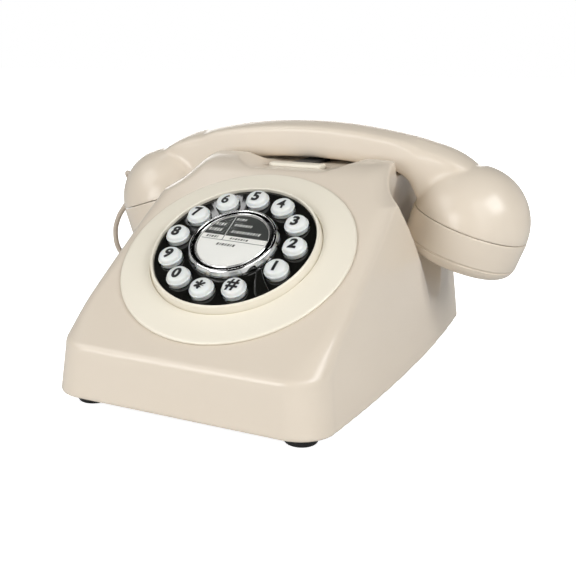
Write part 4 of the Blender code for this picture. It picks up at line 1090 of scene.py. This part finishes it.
def build_spring():
    """Coil round the plunger."""
    points = []
    count = SPRING_TURNS * TURN_STEPS
    for i in range(count + 1):
        a = 2.0 * math.pi * i / TURN_STEPS
        points.append(Vector((SPRING_RADIUS * math.cos(a), PLUNGER_Y + SPRING_RADIUS * math.sin(a),
                              mix(SPRING_LOW, SPRING_HIGH, i / count) * MM)))
    spring = to_object("hook_spring_wire", tube(points, 0.4 * MM, 8), 80.0)
    spring.data.transform(SHIFT)
    spring.data.materials.append(steel)
    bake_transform(spring)
    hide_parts("hook_spring")


FOOT_SPOTS = ((-52.0, -63.0), (52.0, -63.0), (-54.0, 128.0), (54.0, 128.0))


def build_feet():
    outline = [(0.0, 0.0), (5.6, 0.0, 0.3), (6.9, 0.35, 1.0), (7.5, 1.6, 1.2), (7.5, 6.1, 0.2),
               (3.0, 6.1, 0.1), (3.0, 9.4, 0.2), (0.0, 9.4)]
    for number, (x, y) in enumerate(FOOT_SPOTS, 1):
        foot = to_object("rubber_foot_%d" % number, lathe(rounded(outline, 0.3, 5), 72), 60.0)
        foot.matrix_world = Matrix.Translation((x * MM, y * MM, 0.0))
        place(foot, "telephone", black_rubber, "black_rubber", "foot_%d" % number)


NODE_FINISH = (
    (dark, ("base_plate", "handset_jack", "line_jack", "ringer_switch", "keypad_housing",
            "hook_microswitch")),
    (board, ("keypad_board", "main_board")),
    (silicone, ("keypad_mat",)),
    (clear, ("cord_plug",)),
    (brass, ("gong_left", "gong_right")),
    (copper, ("ringer_coil",)),
    (steel, ("receiver_capsule", "transmitter_capsule", "handset_weight", "gong_left_post", "gong_right_post",
             "ringer_hammer", "base_screw_1", "base_screw_2", "base_screw_3", "base_screw_4")),
)
# Width in mm of the rounding on the edges of these nodes.
BEVELLED = {"base_plate": 0.3, "handset_jack": 0.35, "line_jack": 0.35, "ringer_switch": 0.25,
            "main_board": 0.15, "hook_microswitch": 0.3, "ringer_coil": 0.5, "handset_weight": 0.3}


def finish_cad_nodes():
    """Gives the frame's own nodes that stay their materials and smooth, rounded edges."""
    for material, names in NODE_FINISH:
        for name in names:
            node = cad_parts[name]
            node.data.materials.clear()
            node.data.materials.append(material)
            smooth(node, 35.0)
    for name, width in BEVELLED.items():
        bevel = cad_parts[name].modifiers.new("edge", "BEVEL")
        bevel.width = width * MM
        bevel.segments = 2
        bevel.limit_method = "ANGLE"
        bevel.angle_limit = math.radians(50.0)


# ---- studio ----
# Strength of the world: seen in reflections near the horizon and overhead, and as plain light.
SHINE_LOW, SHINE_HIGH, AMBIENT = 0.55, 0.0, 0.03
# Glow of the floor near the object; it is 1.0 further out.
FLOOR_NEAR = 0.90
# Each light's azimuth, elevation, distance, width, height and radiance.
LIGHTS = {
    "front_low": (-20.0, 12.0, 1.2, 0.6, 0.6, 4.9),
    "key_left": (-50.0, 38.0, 1.2, 0.6, 0.6, 2.5),
    "side_left": (-80.0, 38.0, 1.2, 0.6, 0.6, 0.6),
    "front_right_low": (40.0, 12.0, 1.2, 0.6, 0.6, 0.85),
    "front_right": (40.0, 38.0, 1.2, 0.6, 0.6, 1.9),
    "window_right": (74.0, 36.0, 1.2, 0.6, 0.6, 6.8),
    "plate_shine": (-114.0, 59.0, 1.2, 0.14, 0.10, 6.0),
    "rear_fill": (-155.0, 14.0, 1.3, 1.0, 0.6, 3.0),
}
CAMERA_AZIMUTH, CAMERA_ELEVATION, CAMERA_ROLL = 25.7026, 12.8968, math.radians(0.5284)
CAMERA_DISTANCE, CAMERA_TARGET_Z = 0.43637, 0.060


def direction(azimuth, elevation):
    """Unit vector from the object; azimuth 0 is in front of the dial, 90 to its right."""
    a, e = math.radians(azimuth), math.radians(elevation)
    return Vector((math.sin(a) * math.cos(e), -math.cos(a) * math.cos(e), math.sin(e)))


def soft_box(name, azimuth, elevation, distance, width, height, radiance):
    """White rectangular light that faces the object; radiance stays the same at any size."""
    light = bpy.data.lights.new(name, "AREA")
    light.shape = "RECTANGLE"
    light.size = width
    light.size_y = height
    light.energy = radiance * math.pi * width * height
    holder = new_object(name, light)
    out = direction(azimuth, elevation)
    holder.location = Vector((0.0, 0.0, 0.07)) + out * distance
    holder.rotation_euler = out.to_track_quat("Z", "Y").to_euler()


def build_world():
    """White to the camera; to the object only a low glow, brighter near the horizon."""
    world = bpy.data.worlds.new("studio")
    world.use_nodes = True
    nodes, links = world.node_tree.nodes, world.node_tree.links
    nodes.clear()
    path = nodes.new("ShaderNodeLightPath")
    coord = nodes.new("ShaderNodeTexCoord")
    split = nodes.new("ShaderNodeSeparateXYZ")
    links.new(coord.outputs["Generated"], split.inputs[0])
    shine = ramp(nodes, links, split.outputs["Z"], SHINE_LOW, SHINE_HIGH, 0.02, 0.55)
    first = nodes.new("ShaderNodeMix")
    first.inputs[2].default_value = AMBIENT
    links.new(path.outputs["Is Glossy Ray"], first.inputs[0])
    links.new(shine, first.inputs[3])
    second = nodes.new("ShaderNodeMix")
    second.inputs[3].default_value = 1.0
    links.new(path.outputs["Is Camera Ray"], second.inputs[0])
    links.new(first.outputs[0], second.inputs[2])
    back = nodes.new("ShaderNodeBackground")
    back.inputs["Color"].default_value = (1.0, 1.0, 1.0, 1.0)
    links.new(second.outputs[0], back.inputs["Strength"])
    out = nodes.new("ShaderNodeOutputWorld")
    links.new(back.outputs[0], out.inputs["Surface"])
    bpy.context.scene.world = world


def build_floor():
    """Pale sweep: it glows only to the camera, so that the object keeps its dark hollows."""
    bm = bmesh.new()
    bmesh.ops.create_grid(bm, x_segments=8, y_segments=8, size=6.0)
    floor = to_object("studio_floor", bm)
    mat, nodes, links, shader = new_material("studio_floor_white")
    shader.inputs["Base Color"].default_value = (0.85, 0.85, 0.85, 1.0)
    shader.inputs["Roughness"].default_value = 0.6
    shader.inputs["Specular IOR Level"].default_value = 0.0
    shader.inputs["Emission Color"].default_value = (1.0, 1.0, 1.0, 1.0)
    coord = nodes.new("ShaderNodeTexCoord")
    far = nodes.new("ShaderNodeVectorMath")
    far.operation = "LENGTH"
    links.new(coord.outputs["Object"], far.inputs[0])
    glow = ramp(nodes, links, far.outputs["Value"], FLOOR_NEAR, 1.0, 0.15, 0.60)
    path = nodes.new("ShaderNodeLightPath")
    seen = nodes.new("ShaderNodeMath")
    seen.operation = "MULTIPLY"
    links.new(glow, seen.inputs[0])
    links.new(path.outputs["Is Camera Ray"], seen.inputs[1])
    links.new(seen.outputs[0], shader.inputs["Emission Strength"])
    floor.data.materials.append(mat)


def build_camera():
    """Camera with a shifted frame, turned a little about its own axis."""
    cam = bpy.data.cameras.new("camera")
    holder = new_object("camera", cam)
    back = direction(CAMERA_AZIMUTH, CAMERA_ELEVATION)
    spot = SHIFT @ Vector((0.0, 0.0, CAMERA_TARGET_Z)) + back * CAMERA_DISTANCE
    right = (-back).cross(Vector((0.0, 0.0, 1.0))).normalized()
    up = right.cross(-back)
    across = right * math.cos(CAMERA_ROLL) + up * math.sin(CAMERA_ROLL)
    above = up * math.cos(CAMERA_ROLL) - right * math.sin(CAMERA_ROLL)
    holder.matrix_world = Matrix(((across.x, above.x, back.x, spot.x), (across.y, above.y, back.y, spot.y),
                                  (across.z, above.z, back.z, spot.z), (0.0, 0.0, 0.0, 1.0)))
    cam.sensor_width = 36.0
    cam.lens = 55.991
    cam.shift_x = 0.056269
    cam.shift_y = -0.052077
    cam.clip_start = 0.01
    bpy.context.scene.camera = holder


build_case()
build_surround()
build_plate()
build_keys()
build_centre()
build_stop()
build_handset()
build_caps()
build_sleeve()
build_hook_bar()
build_cord()
build_spring()
build_feet()
finish_cad_nodes()
build_world()
build_floor()
build_camera()
for light_name, values in LIGHTS.items():
    soft_box(light_name, *values)
bpy.context.scene.view_settings.view_transform = "Standard"
bpy.context.scene.view_settings.look = "None"
